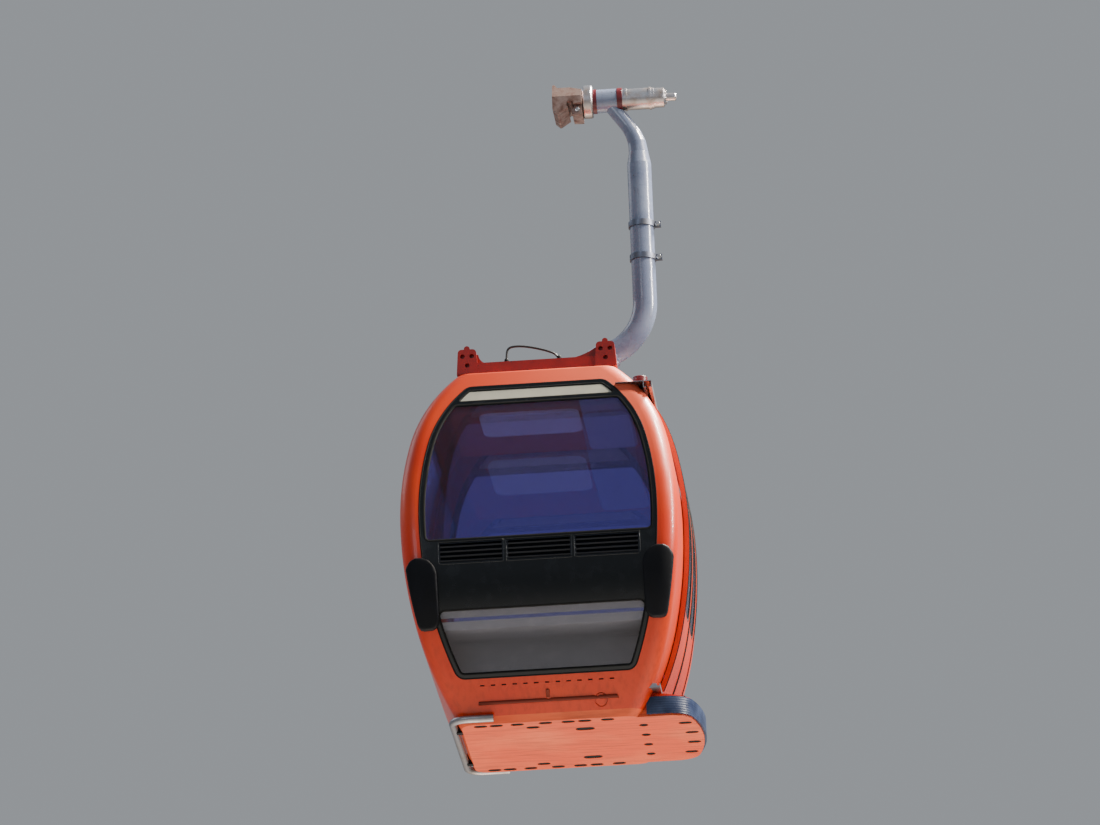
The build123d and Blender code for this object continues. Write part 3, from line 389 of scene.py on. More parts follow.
def piece(name, shape, material, body):
    """A finished mesh object from a bmesh, smooth across gentle edges, riding on a body."""
    bmesh.ops.recalc_face_normals(shape, faces=shape.faces)
    for face in shape.faces:
        face.smooth = True
    for edge in shape.edges:
        edge.smooth = edge.calc_face_angle(0) < CREASE
    mesh = bpy.data.meshes.new(name)
    shape.to_mesh(mesh)
    shape.free()
    mesh.materials.append(material)
    made = bpy.data.objects.new(name, mesh)
    bpy.context.scene.collection.objects.link(made)
    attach(made, body)
    return made


def joined_copy(node):
    """A CAD node's mesh with its split vertices joined, to be measured."""
    shape = bmesh.new()
    shape.from_mesh(nodes[node].data)
    bmesh.ops.remove_doubles(shape, verts=shape.verts, dist=JOIN_WITHIN)
    return shape


tree_cache = {}


def surface_at(node, start, direction):
    """Where a straight line meets a CAD node, and the surface's normal there."""
    if node not in tree_cache:
        mesh = nodes[node].data
        faces = [tuple(polygon.vertices) for polygon in mesh.polygons]
        tree_cache[node] = BVHTree.FromPolygons([vertex.co.copy() for vertex in mesh.vertices], faces)
    place, normal, _, _ = tree_cache[node].ray_cast(Vector(start), Vector(direction))
    return place, normal


def solids_of(node):
    """The box of each separate solid of a node, as (low, high) corners."""
    shape = joined_copy(node)
    seen = set()
    boxes = []
    for vertex in shape.verts:
        if vertex in seen:
            continue
        seen.add(vertex)
        queue = [vertex]
        corners = []
        while queue:
            reached = queue.pop()
            corners.append(reached.co.copy())
            for edge in reached.link_edges:
                other = edge.other_vert(reached)
                if other not in seen:
                    seen.add(other)
                    queue.append(other)
        low = Vector([min(corner[axis] for corner in corners) for axis in range(3)])
        high = Vector([max(corner[axis] for corner in corners) for axis in range(3)])
        boxes.append((low, high))
    shape.free()
    return boxes


def rims_of(node, axis, spacing):
    """The outer rim of each pane or panel of a node, as closed lists of (place, normal)."""
    shape = joined_copy(node)
    middle = cabin_x if axis == 0 else 0
    outer = set()
    for face in shape.faces:
        outward = math.copysign(1, face.calc_center_median()[axis] - middle)
        if face.normal[axis] * outward > FACING:
            outer.add(face)
    border = {}
    for edge in shape.edges:
        inside = [face for face in edge.link_faces if face in outer]
        if len(inside) == 1:
            for vertex in edge.verts:
                border.setdefault(vertex, []).append((edge.other_vert(vertex), inside[0].normal.copy()))
    rims = []
    while border:
        vertex = next(iter(border))
        rim = []
        while vertex in border:
            steps = border.pop(vertex)
            if not rim or (rim[-1][0] - vertex.co).length > spacing:
                rim.append((vertex.co.copy(), steps[0][1]))
            onward = [other for other, _ in steps if other in border]
            if onward:
                vertex = onward[0]
        rims.append(rim)
    shape.free()
    return rims


def offset_rim(rim, distance):
    """A closed rim moved outward along the surface that it lies on."""
    middle = sum((place for place, _ in rim), Vector()) / len(rim)
    moved = []
    for index, (place, normal) in enumerate(rim):
        along = (rim[(index + 1) % len(rim)][0] - rim[index - 1][0]).normalized()
        side = along.cross(normal)
        if side.dot(place - middle) < 0:
            side.negate()
        moved.append((place + side * distance, normal))
    return moved


def around(rim):
    """The length of a closed rim."""
    return sum((rim[index][0] - rim[index - 1][0]).length for index in range(len(rim)))


def carved(node, cutter):
    """A copy of a CAD node's mesh with a cutter's shape taken out of it."""
    source = joined_copy(node)
    pair = []
    for shape in (source, cutter):
        mesh = bpy.data.meshes.new("workpiece")
        shape.to_mesh(mesh)
        shape.free()
        pair.append(bpy.data.objects.new("workpiece", mesh))
        bpy.context.scene.collection.objects.link(pair[-1])
    cut = pair[0].modifiers.new("cut", "BOOLEAN")
    cut.operation = "DIFFERENCE"
    cut.solver = "EXACT"
    cut.object = pair[1]
    result = bmesh.new()
    result.from_object(pair[0], bpy.context.evaluated_depsgraph_get())
    for workpiece in pair:
        bpy.data.objects.remove(workpiece)
    return result


def skin(shape, rings, looped=False):
    """Faces between rings of vertices in a row, closed at both ends unless the row is a loop."""
    pairs = list(zip(rings, rings[1:]))
    if looped:
        pairs.append((rings[-1], rings[0]))
    for ring, following in pairs:
        for index in range(len(ring)):
            beside = (index + 1) % len(ring)
            shape.faces.new((ring[index], ring[beside], following[beside], following[index]))
    if not looped:
        shape.faces.new(rings[0])
        shape.faces.new(rings[-1])


def prism(shape, rim, way, depths):
    """A closed block under a rim of (place, normal), from one depth to another along a way."""
    skin(shape, [[shape.verts.new(place + way * depth) for place, _ in rim] for depth in depths])


def dome(width, proud, sunk=1 * MM, steps=6):
    """Half-round section of a seal or bead, as (across, up) offsets."""
    section = [(width / 2, -sunk)]
    for step in range(steps + 1):
        angle = math.pi * step / steps
        section.append((width / 2 * math.cos(angle), proud * math.sin(angle)))
    section.append((-width / 2, -sunk))
    return section


def sweep(shape, path, section, looped=False, ripple=0.0):
    """Runs a section along a path of (place, up) pairs; ripple swells every other ring."""
    rings = []
    count = len(path)
    for index, (place, up) in enumerate(path):
        before = path[index - 1][0] if looped or index else place
        after = path[(index + 1) % count][0] if looped or index < count - 1 else place
        along = (after - before).normalized()
        lift = (up - along * up.dot(along)).normalized()
        side = along.cross(lift)
        swell = 1 + ripple * (index % 2)
        ring = [place + side * across * swell + lift * rise * swell for across, rise in section]
        rings.append([shape.verts.new(corner) for corner in ring])
    skin(shape, rings, looped)


def spin(shape, place, axis, profile, sides=20):
    """A turned form on an axis from a profile of (radius, height) pairs."""
    axis = Vector(axis).normalized()
    across = axis.orthogonal().normalized()
    beside = axis.cross(across)
    rings = []
    for radius, height in profile:
        ring = []
        for index in range(sides):
            angle = 2 * math.pi * index / sides
            out = across * math.cos(angle) + beside * math.sin(angle)
            ring.append(shape.verts.new(Vector(place) + axis * height + out * radius))
        rings.append(ring)
    skin(shape, rings)


def rounded_outline(width, height, corner, steps=6):
    """The outline of a rectangle with round corners, as (across, up) offsets from its middle."""
    outline = []
    for quarter, (right, top) in enumerate(((1, 1), (-1, 1), (-1, -1), (1, -1))):
        for step in range(steps + 1):
            angle = (quarter + step / steps) * math.pi / 2
            outline.append((
                right * (width / 2 - corner) + corner * math.cos(angle),
                top * (height / 2 - corner) + corner * math.sin(angle),
            ))
    return outline


def plate(shape, place, across, up, size, corner, thick, edge=2 * MM):
    """A plate with round corners and a softened rim, its back at the place."""
    outward = across.cross(up)
    rings = []
    for inset, level in ((edge, 0), (0, edge), (0, thick - edge), (edge, thick)):
        outline = rounded_outline(size[0] - 2 * inset, size[1] - 2 * inset, corner - inset)
        rings.append([shape.verts.new(place + across * u + up * v + outward * level) for u, v in outline])
    skin(shape, rings)


# Profiles of a washer's rim and a bolt's head, in thread sizes
WASHER = [(1.1, 0.0), (1.1, 0.16), (0.95, 0.2)]
BOLT_HEAD = [(0.86, 0.2), (0.92, 0.26), (0.92, 0.76), (0.78, 0.86)]


def bolt(shape, place, axis, size):
    """A hexagon bolt head on its washer, of a thread size in metres."""
    rim = [(size * out, size * level) for out, level in WASHER]
    spin(shape, place, axis, [(size * 1.05, -0.5 * MM)] + rim)
    spin(shape, place, axis, [(size * out, size * level) for out, level in BOLT_HEAD], 6)


def rivet(shape, place, axis, radius):
    """A pan-head rivet or screw."""
    crown = [(1.0, -0.1), (1.0, 0.2), (0.7, 0.5), (0.25, 0.6)]
    spin(shape, place, axis, [(radius * out, radius * level) for out, level in crown], 14)


# Sponge rubber seals round every window and the strip over it, in steps short enough to follow its corners
SEAL_STEP = 9 * MM
SEAL_ROWS = [
    # name, node, axis it faces, width mm, proud mm, body
    ("seals_main_windows", "end_windows", 1, 22, 5.5, "cabin"),
    ("seals_low_windows", "low_windows", 1, 18, 5.5, "cabin"),
    ("seals_strips", "transom_strips", 1, 16, 5.5, "cabin"),
    ("seal_side_window", "side_window_left", 0, 22, 4.5, "cabin"),
    ("seal_door_window_front", "door_window_front", 0, 18, 5.5, "door_front"),
    ("seal_door_window_rear", "door_window_rear", 0, 18, 5.5, "door_rear"),
]
for seal_name, node_name, axis, width, proud, body in SEAL_ROWS:
    shape = bmesh.new()
    for rim in rims_of(node_name, axis, SEAL_STEP):
        sweep(shape, rim, dome(width * MM, proud * MM), True)
    piece(seal_name, shape, SEAL, body)

# Thin line of sealant where each dark end frame meets the orange panels
SEALANT_SECTION = dome(9 * MM, 1.6 * MM)
for end_name in ("front", "rear"):
    shape = bmesh.new()
    longest = max(rims_of(f"end_frame_{end_name}", 1, SEAL_STEP), key=len)
    sweep(shape, longest, SEALANT_SECTION, True)
    piece(f"sealant_{end_name}", shape, SEAL, "cabin")

# Vents: woven wire behind the louvres, at 12 mm where the real weave is finer, a ribbed shutter behind it
# that slides shut in the cold, and a raised bezel round each opening
WIRE = 2.2 * MM
WIRE_PITCH = 12 * MM
WIRE_BACK = 26 * MM
SHUTTER_BACK = 36 * MM
SHUTTER_THICK = 5 * MM
SHUTTER_RIBS = 4
SHUTTER_GAP = 2 * MM
SHUTTER_CORNER = 6 * MM
SHUTTER_RIM = 1 * MM
RIB_MARGIN = 12 * MM
RIB_SECTION = dome(8 * MM, 3 * MM)
BEZEL_MARGIN = 8 * MM
BEZEL_CORNER = 10 * MM
BEZEL_SECTION = dome(7 * MM, 3 * MM)
# A solid of the vents' node that is narrower than this isn't a vent
LEAST_VENT = 0.2
quarter_turns = [turn * math.pi / 2 for turn in range(4)]
wire_section = [(WIRE * math.cos(turn) / 2, WIRE * math.sin(turn) / 2) for turn in quarter_turns]
wire = bmesh.new()
shutters = bmesh.new()
bezels = bmesh.new()
for low, high in solids_of("vents"):
    width, height = high.x - low.x, high.z - low.z
    if width < LEAST_VENT:
        continue
    end = math.copysign(1, low.y)
    face_y = max(abs(low.y), abs(high.y))
    outward = Vector((0, end, 0))
    wire_y = end * (face_y - WIRE_BACK)
    x = low.x + WIRE_PITCH
    while x < high.x - WIRE_PITCH / 2:
        upright = [Vector((x, wire_y, z)) for z in (low.z, high.z)]
        sweep(wire, [(place, outward) for place in upright], wire_section)
        x += WIRE_PITCH
    z = low.z + WIRE_PITCH
    while z < high.z - WIRE_PITCH / 2:
        crossing = [Vector((x, wire_y + WIRE * end, z)) for x in (low.x, high.x)]
        sweep(wire, [(place, outward) for place in crossing], wire_section)
        z += WIRE_PITCH
    middle = Vector(((low.x + high.x) / 2, end * (face_y - SHUTTER_BACK), (low.z + high.z) / 2))
    size = (width - SHUTTER_GAP, height - SHUTTER_GAP)
    plate(shutters, middle, ACROSS * -end, UP, size, SHUTTER_CORNER, SHUTTER_THICK, SHUTTER_RIM)
    for index in range(SHUTTER_RIBS):
        rib_y = middle.y + end * SHUTTER_THICK
        rib_z = low.z + height * (index + 0.5) / SHUTTER_RIBS
        rib = [Vector((x, rib_y, rib_z)) for x in (low.x + RIB_MARGIN, high.x - RIB_MARGIN)]
        sweep(shutters, [(place, outward) for place in rib], RIB_SECTION)
    frame_name = f"end_frame_{'rear' if end > 0 else 'front'}"
    ring = []
    for u, v in rounded_outline(width + BEZEL_MARGIN, height + BEZEL_MARGIN, BEZEL_CORNER):
        ring.append(surface_at(frame_name, (middle.x + u, end * 2, middle.z + v), -outward))
    sweep(bezels, ring, BEZEL_SECTION, True)
piece("vent_wire", wire, FINISHES["vent_black"], "cabin")
piece("vent_shutters", shutters, FINISHES["vent_black"], "cabin")
piece("vent_bezels", bezels, FINISHES["frame_black"], "cabin")

# Rubber bushes in the pan's slots and holes, each in a shallow seat, with a black blank behind as painted
# shade, so that they read as dark and open as they do on the real cabin
BUSH_WIDTH = 13 * MM
BUSH_STEP = 1.5 * MM
SEAT_DEPTH = 7 * MM
SEAT_OVERCUT = 5 * MM
SHADE_BLANK_DEPTHS = (4 * MM, 16 * MM)
SHADE_BLANK_SHRINK = 0.6 * MM
LONGEST_PAN_HOLE = 0.5
LONGEST_SLOT = 0.2
pan_rims = [rim for rim in rims_of("base_pan", 2, BUSH_STEP) if around(rim) < LONGEST_PAN_HOLE]
seats = bmesh.new()
bushes = bmesh.new()
shade_blanks = bmesh.new()
for rim in pan_rims:
    prism(seats, offset_rim(rim, BUSH_WIDTH + SHADE_BLANK_SHRINK), UP, (-SEAT_OVERCUT, SEAT_DEPTH))
    crown = [(place + UP * SEAT_DEPTH, DOWN) for place, _ in offset_rim(rim, BUSH_WIDTH / 2)]
    sweep(bushes, crown, dome(BUSH_WIDTH, SEAT_DEPTH - 1 * MM), True)
    # A black blank inside the hole: painted shade
    prism(shade_blanks, offset_rim(rim, -SHADE_BLANK_SHRINK), UP, SHADE_BLANK_DEPTHS)
bmesh.ops.recalc_face_normals(seats, faces=seats.faces)
bushed_pan = piece("bushed_pan", carved("base_pan", seats), UNDERSIDE_PAINTED_BOUNCE_AND_GREASE, "cabin")
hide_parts("base_pan")
piece("pan_bushes", bushes, SEAL, "cabin")
piece("pan_shade_blanks", shade_blanks, SEAL, "cabin")

# End panels: black blanks in the slots as painted shade, a cover over the drain, and a dark strip in the long
# groove as painted shadow under its ledge
COVER_SIZE = (22 * MM, 54 * MM)
COVER_THICK = 4 * MM
COVER_CORNER = 9 * MM
COVER_LIFT = 0.5 * MM
RIVET_RADIUS = 5 * MM
RIVET_SHARE = 0.36
SLOT_SHADE_BLANK_DEPTHS = (1.5 * MM, 9 * MM)
# How far from the middle the covered slot may be, and how tall it is at least
COVERED_REACH = 40 * MM
COVERED_HEIGHT = 25 * MM
GROOVE_SHADOW_STRIP_REACH = 395 * MM
GROOVE_SHADOW_STRIP_STEPS = 40
JOINT_HEIGHT = 104 * MM
# The panel's face is measured this far above the joint, where it is plain
OVER_JOINT = 14 * MM
GROOVE_SHADOW_STRIP_SUNK = 2 * MM
GROOVE_SHADOW_STRIP_SECTION = dome(19 * MM, 3.5 * MM, 4 * MM)
for end_name, end in (("front", -1), ("rear", 1)):
    node_name = f"end_panel_{end_name}"
    outward = Vector((0, end, 0))
    shape = bmesh.new()
    cover = bmesh.new()
    for rim in rims_of(node_name, 1, BUSH_STEP):
        if around(rim) > LONGEST_SLOT or len(rim) < 4:
            continue
        first, normal = rim[0]
        # A black blank in the slot: painted shade
        prism(shape, offset_rim(rim, -SHADE_BLANK_SHRINK), -normal, SLOT_SHADE_BLANK_DEPTHS)
        levels = [place.z for place, _ in rim]
        if max(levels) - min(levels) > COVERED_HEIGHT and abs(first.x - cabin_x) < COVERED_REACH:
            middle = sum((place for place, _ in rim), Vector()) / len(rim)
            across = normal.cross(UP).normalized()
            rise = -normal.cross(across)
            back = middle + normal * COVER_LIFT
            plate(cover, back, -across, rise, COVER_SIZE, COVER_CORNER, COVER_THICK)
            for way in (-1, 1):
                place = middle + normal * COVER_THICK + rise * way * COVER_SIZE[1] * RIVET_SHARE
                rivet(cover, place, normal, RIVET_RADIUS)
    piece(f"slot_shade_blanks_{end_name}", shape, SEAL, "cabin")
    piece(f"drain_cover_{end_name}", cover, BROWN_CAP, "cabin")
    # A dark strip along the groove: painted shadow under its ledge
    shape = bmesh.new()
    path = []
    for index in range(GROOVE_SHADOW_STRIP_STEPS + 1):
        x = cabin_x + (2 * index / GROOVE_SHADOW_STRIP_STEPS - 1) * GROOVE_SHADOW_STRIP_REACH
        place, normal = surface_at(node_name, (x, end * 2, pan_z + JOINT_HEIGHT + OVER_JOINT), -outward)
        path.append((place - UP * OVER_JOINT - outward * GROOVE_SHADOW_STRIP_SUNK, normal))
    sweep(shape, path, GROOVE_SHADOW_STRIP_SECTION)
    piece(f"groove_shadow_strip_{end_name}", shape, GROOVE_SHADOW_STRIP, "cabin")

# Moulded rubber pads: their tops slope down from the corner of the cabin both ways, and their edges are
# rounded off as they come out of the mould
PAD_TOP = pan_z + 888 * MM
# Each top corner is an arc in three cuts: where it starts, the way it runs, how far it runs and falls
PAD_CORNERS = (("inner x", 95 * MM, 110 * MM), ("outer x", 70 * MM, 100 * MM), ("inner y", 70 * MM, 90 * MM))
PAD_CUT_ANGLES = [math.radians(angle) for angle in (18, 45, 72)]
PAD_VOXEL = 6 * MM
PAD_SMOOTHINGS = 12
shape = joined_copy("corner_pads")
for side in (-1, 1):
    for end in (-1, 1):
        own = [v for v in shape.verts if (v.co.x - cabin_x) * side > 0 and v.co.y * end > 0]
        reach_x = [abs(vertex.co.x - cabin_x) for vertex in own]
        reach_y = [abs(vertex.co.y) for vertex in own]
        cuts = [(Vector((cabin_x, 0, PAD_TOP)), UP)]
        for corner, run, fall in PAD_CORNERS:
            edge, inwards, along_x = {
                "inner x": (min(reach_x), 1, 1),
                "outer x": (max(reach_x), -1, 1),
                "inner y": (min(reach_y), 1, 0),
            }[corner]
            for angle in PAD_CUT_ANGLES:
                out = edge + inwards * run * (1 - math.sin(angle))
                place = Vector((0, 0, PAD_TOP - fall * (1 - math.cos(angle))))
                normal = Vector((0, 0, math.cos(angle) / fall))
                if along_x:
                    place.x = cabin_x + side * out
                    normal.x = -side * inwards * math.sin(angle) / run
                else:
                    place.y = end * out
                    normal.y = -end * inwards * math.sin(angle) / run
                cuts.append((place, normal.normalized()))
        for place, normal in cuts:
            own = [v for v in shape.verts if (v.co.x - cabin_x) * side > 0 and v.co.y * end > 0]
            faces = {face for vertex in own for face in vertex.link_faces}
            edges = {edge for vertex in own for edge in vertex.link_edges}
            parts = own + list(edges) + list(faces)
            cut = bmesh.ops.bisect_plane(shape, geom=parts, plane_co=place, plane_no=normal, clear_outer=True)
            rim_edges = [item for item in cut["geom_cut"] if isinstance(item, bmesh.types.BMEdge)]
            bmesh.ops.holes_fill(shape, edges=rim_edges, sides=0)
trimmed_mesh = bpy.data.meshes.new("trimmed_pads")
shape.to_mesh(trimmed_mesh)
shape.free()
trimmed = bpy.data.objects.new("trimmed_pads", trimmed_mesh)
bpy.context.scene.collection.objects.link(trimmed)
voxels = trimmed.modifiers.new("voxels", "REMESH")
voxels.mode = "VOXEL"
voxels.voxel_size = PAD_VOXEL
settle = trimmed.modifiers.new("settle", "SMOOTH")
settle.factor = 0.6
settle.iterations = PAD_SMOOTHINGS
shape = bmesh.new()
shape.from_object(trimmed, bpy.context.evaluated_depsgraph_get())
bpy.data.objects.remove(trimmed)
moulded_pads = piece("moulded_pads", shape, FINISHES["rubber"], "cabin")
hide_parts("corner_pads")

# Inside: an opal ceiling lamp, and the cover of the door gear along the door side of the ceiling
CEILING_ROWS = [
    # name, from the cabin's middle, (across, along), corner mm, thick mm, rim mm, finish
    ("ceiling_lamp", -0.08, (0.58, 0.4), 60, 16, 4, OPAL),
    ("door_gear_cover", 0.37, (0.28, 1.0), 40, 30, 6, FINISHES["ceiling_white"]),
]
plate_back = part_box("ceiling")[0].z + 0.5 * MM
for name, x, size, corner, thick, edge, finish in CEILING_ROWS:
    shape = bmesh.new()
    place = Vector((cabin_x + x, 0, plate_back))
    plate(shape, place, ACROSS, TO_FRONT, size, corner * MM, thick * MM, edge * MM)
    piece(name, shape, finish, "cabin")

# Lead that arches over the front roof bar from one gland to the other, held at both ends
LEAD_RADIUS = 6.5 * MM
LEAD_STEPS = 8
LEAD_SIDES = 14
LEAD_Y = -458 * MM
BAR_TOP = pan_z + 2172 * MM
# The lead's run in millimetres across from the cabin's middle and up from the bar
LEAD_RUN = ((-175, 2), (-175, 60), (-160, 96), (-95, 100), (-20, 86), (60, 62), (118, 36), (130, 2))
controls = [Vector((cabin_x + x * MM, LEAD_Y, BAR_TOP + z * MM)) for x, z in LEAD_RUN]
path = [controls[0]]
for index in range(1, len(controls) - 1):
    bend = controls[index]
    before = (controls[index - 1] + bend) / 2 if index > 1 else controls[0]
    after = (bend + controls[index + 1]) / 2 if index < len(controls) - 2 else controls[-1]
    for step in range(1, LEAD_STEPS + 1):
        share = step / LEAD_STEPS
        path.append(before * (1 - share) ** 2 + bend * 2 * share * (1 - share) + after * share ** 2)
lead_turns = [2 * math.pi * turn / LEAD_SIDES for turn in range(LEAD_SIDES)]
section = [(LEAD_RADIUS * math.cos(turn), LEAD_RADIUS * math.sin(turn)) for turn in lead_turns]
shape = bmesh.new()
sweep(shape, [(place, TO_FRONT) for place in path], section)
lead = piece("roof_lead_sheath", shape, FINISHES["lead_black"], "cabin")
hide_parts("roof_lead")
GLAND_MM = [(15, -0.5), (15, 10), (13, 11), (13, 20), (9, 26), (7, 27)]
gland = [(radius * MM, level * MM) for radius, level in GLAND_MM]
shape = bmesh.new()
for place in (controls[0], controls[-1]):
    spin(shape, (place.x, place.y, BAR_TOP), UP, gland, 16)
piece("lead_glands", shape, FINISHES["rubber"], "cabin")

# Weld bead where the hanger tube enters its foot
WELD_RADIUS = 72 * MM
WELD_RIPPLES = 90
RIPPLE_SWELL = 0.08
WELD_SECTION = dome(18 * MM, 7 * MM, 3 * MM)
TUBE_END = Vector((cabin_x + 305.6 * MM, 0, pan_z + 2293 * MM))
WELD_UP_TUBE = 120 * MM
tube_axis = Vector((0.883, 0, 0.469)).normalized()
weld_place = TUBE_END + tube_axis * WELD_UP_TUBE
weld_up = tube_axis.cross(-TO_FRONT)
shape = bmesh.new()
path = []
for index in range(WELD_RIPPLES):
    angle = 2 * math.pi * index / WELD_RIPPLES
    out = -TO_FRONT * math.cos(angle) + weld_up * math.sin(angle)
    path.append((weld_place + out * WELD_RADIUS, out))
sweep(shape, path, WELD_SECTION, True, RIPPLE_SWELL)
piece("hanger_weld", shape, FINISHES["hanger_grey"], "cabin")


def bolt_on(shape, node, start, direction, size_mm):
    """A bolt head where a straight line meets a CAD node; none where it meets nothing."""
    place, normal = surface_at(node, start, direction)
    if place is not None:
        bolt(shape, place, normal, size_mm * MM)


def shared(low, high, share):
    """The place at a share of the way from one number to another."""
    return low + (high - low) * share


# Bolts on the hanger's clamps and foot
CLAMP_LUG = 18 * MM
shape = bmesh.new()
for low, high in solids_of("hanger_clamps"):
    for side in (-1, 1):
        start = (high.x - CLAMP_LUG, side, (low.z + high.z) / 2)
        bolt_on(shape, "hanger_clamps", start, (0, -side, 0), 14)
low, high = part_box("hanger_foot")
for x_share in (0.08, 0.5, 0.92):
    for y_share in (0.07, 0.93):
        start = (shared(low.x, high.x, x_share), shared(low.y, high.y, y_share), 0.5)
        bolt_on(shape, "hanger_foot", start, DOWN, 16)
piece("hanger_bolts", shape, ZINC, "cabin")

# Bolts on the roof frame over its mounts, on the door lever and along the top rail
RAIL_BOLTS = 7
RAIL_EDGE = 20 * MM
shape = bmesh.new()
for low, high in solids_of("roof_mounts"):
    bolt_on(shape, "roof_rails", ((low.x + high.x) / 2, (low.y + high.y) / 2, 0.0), DOWN, 14)
low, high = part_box("door_lever")
for share in (0.1, 0.9):
    start = (1.0, shared(low.y, high.y, share), (low.z + high.z) / 2)
    bolt_on(shape, "door_lever", start, -ACROSS, 12)
low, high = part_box("door_rail_top")
for index in range(RAIL_BOLTS):
    start = (high.x - RAIL_EDGE, shared(low.y, high.y, (index + 0.5) / RAIL_BOLTS), 0.0)
    bolt_on(shape, "door_rail_top", start, DOWN, 7)
piece("frame_bolts", shape, ZINC, "cabin")

# Grip: nuts on the jaw pin, a ring of bolts on the end cap
JAW_PIN_X = 42 * MM
JAW_PIN_Z = -20 * MM
CAP_BOLTS = 6
CAP_RING = 38 * MM
shape = bmesh.new()
for side in (-1, 1):
    bolt_on(shape, "jaw_moving", (JAW_PIN_X, side, JAW_PIN_Z), (0, -side, 0), 13)
low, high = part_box("grip_cap")
for index in range(CAP_BOLTS):
    angle = 2 * math.pi * (index + 0.5) / CAP_BOLTS
    start = (1.0, CAP_RING * math.cos(angle), (low.z + high.z) / 2 + CAP_RING * math.sin(angle))
    bolt_on(shape, "grip_cap", start, -ACROSS, 7)
piece("grip_bolts", shape, ZINC, "grip")

# Rubber nosings down the edges of the door leaves
LEAF_STEP = 40 * MM
NOSING_INSET = 8 * MM
NOSING_FOOT = 6 * MM
NOSING_HEAD = 4 * MM
NOSING_SECTION = dome(14 * MM, 5 * MM)
for end_name in ("front", "rear"):
    leaf_name = f"door_leaf_{end_name}"
    low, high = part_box(leaf_name)
    shape = bmesh.new()
    for y in (low.y + NOSING_INSET, high.y - NOSING_INSET):
        path = []
        z = low.z + NOSING_FOOT
        while z < high.z - NOSING_HEAD:
            place, normal = surface_at(leaf_name, (2.0, y, z), -ACROSS)
            if place is not None:
                path.append((place, normal))
            z += LEAF_STEP
        sweep(shape, path, NOSING_SECTION)
    piece(f"door_nosing_{end_name}", shape, SEAL, f"door_{end_name}")

# Ribs of the tread, wherever the step's flat top is long enough to take one
TREAD_PITCH = 20 * MM
TREAD_PROBE = 10 * MM
TREAD_MARGIN = 14 * MM
TREAD_START = 640 * MM
TREAD_RIM = 22 * MM
TREAD_SECTION = dome(8 * MM, 3 * MM)
LEAST_HITS = 12
tread_z = pan_z + 118 * MM
low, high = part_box("step")
shape = bmesh.new()
x = cabin_x + TREAD_START
while x < high.x - TREAD_RIM:
    hits = []
    y = low.y
    while y < high.y:
        place, normal = surface_at("step", (x, y, 0.0), DOWN)
        if place is not None and abs(place.z - tread_z) < 1 * MM:
            hits.append(y)
        y += TREAD_PROBE
    if len(hits) > LEAST_HITS:
        ends = (hits[0] + TREAD_MARGIN, hits[-1] - TREAD_MARGIN)
        sweep(shape, [(Vector((x, y, tread_z)), UP) for y in ends], TREAD_SECTION)
    x += TREAD_PITCH
piece("step_tread", shape, FINISHES["step_rubber"], "cabin")

# Long lens that looks up at the cabin from the end and a little to the door side
AZIMUTH = math.radians(4.0)
ELEVATION = math.radians(-18.5)
DISTANCE = 45.0
ROLL = math.radians(-2.2)
LENS = 253
SENSOR = 36
SIGHT_REACH = 1000
aim_point = (cad_low + cad_high) / 2
backward = Vector((
    math.sin(AZIMUTH) * math.cos(ELEVATION),
    -math.cos(AZIMUTH) * math.cos(ELEVATION),
    math.sin(ELEVATION),
))
lens_data = bpy.data.cameras.new("long_lens")
lens_data.sensor_width = SENSOR
lens_data.lens = LENS
lens_data.clip_end = SIGHT_REACH
camera = bpy.data.objects.new("long_lens", lens_data)
camera.location = aim_point + backward * DISTANCE
camera.rotation_euler = ((-backward).to_track_quat("-Z", "Y") @ Quaternion((0, 0, 1), ROLL)).to_euler()
bpy.context.scene.collection.objects.link(camera)
bpy.context.scene.camera = camera

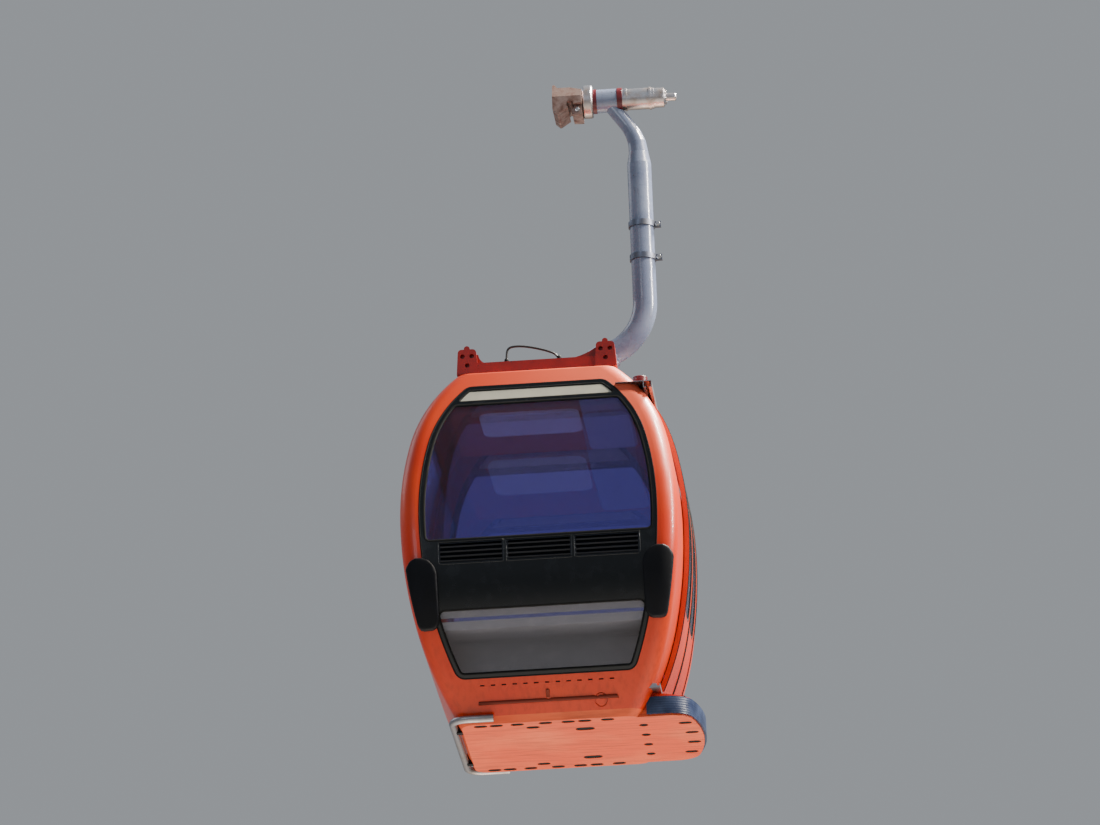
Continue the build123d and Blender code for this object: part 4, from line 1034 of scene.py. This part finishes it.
# Pale studio floor just under the camera, which stands at floor level far below the cabin
FLOOR_REACH = 400
FLOOR_UNDER_CAMERA = 0.3
floor_z = camera.location.z - FLOOR_UNDER_CAMERA
floor_corners = [(x * FLOOR_REACH, y * FLOOR_REACH, floor_z) for x, y in ((-1, -1), (1, -1), (1, 1), (-1, 1))]
floor_mesh = bpy.data.meshes.new("pale_floor")
floor_mesh.from_pydata(floor_corners, [], [(0, 1, 2, 3)])
floor = bpy.data.objects.new("pale_floor", floor_mesh)
bpy.context.scene.collection.objects.link(floor)
# Matt painted studio floor: even and pale
material, tree, place = start_material("pale studio floor paint")
shader = add(tree, "BsdfPrincipled", {"Base Color": linear("#EDEBE6"), "Roughness": 0.9})
add(tree, "OutputMaterial", links={"Surface": shader})
floor_mesh.materials.append(material)

# Even pale surround
world = bpy.data.worlds.new("soft studio surround")
bpy.context.scene.world = world
world.use_nodes = True
world.node_tree.nodes.clear()
glow = add(world.node_tree, "Background", {"Color": linear("#DDE3EA"), "Strength": 0.42})
add(world.node_tree, "OutputWorld", links={"Surface": glow})


def soft_light(name, place, target, size, watts, colour):
    """A soft box of a width and height in metres that looks at a point."""
    lamp = bpy.data.lights.new(name, "AREA")
    lamp.shape = "RECTANGLE"
    lamp.size, lamp.size_y = size
    lamp.energy = watts
    lamp.color = linear(colour)[:3]
    holder = bpy.data.objects.new(name, lamp)
    holder.location = place
    aim = Vector(target) - Vector(place)
    holder.rotation_euler = aim.to_track_quat("-Z", "Y").to_euler()
    bpy.context.scene.collection.objects.link(holder)


# A high soft box from the door side, a tall thin one beside it for the line down the tube, one from behind
# for the roof's edge, and weak light from below, from the front and on the shaded side
body_centre = (cabin_x, 0, pan_z + 1.1)
tube_centre = (cabin_x + 0.7, 0, pan_z + 2.9)
LIGHT_ROWS = [
    # name, place, target, (width, height), watts, colour
    ("key", (9.7, -2.1, 9.5), body_centre, (2.4, 2.4), 6400, "#FFF3E2"),
    ("strip", (13.2, -1.6, 3.6), tube_centre, (0.4, 5.0), 2700, "#FFF8F0"),
    ("rim", (6.4, 3.4, 8.4), body_centre, (3.0, 3.0), 9500, "#FFF6EC"),
    ("bounce", (1.2, 3.0, -14), body_centre, (6.0, 6.0), 950, "#FFE2C8"),
    ("fill", (-6, -14, 2), body_centre, (4.0, 4.0), 250, "#E8F0FF"),
    ("shade_side", (-13, 5, 9), body_centre, (9.0, 9.0), 450, "#EEF3FF"),
]
for row in LIGHT_ROWS:
    soft_light(*row)
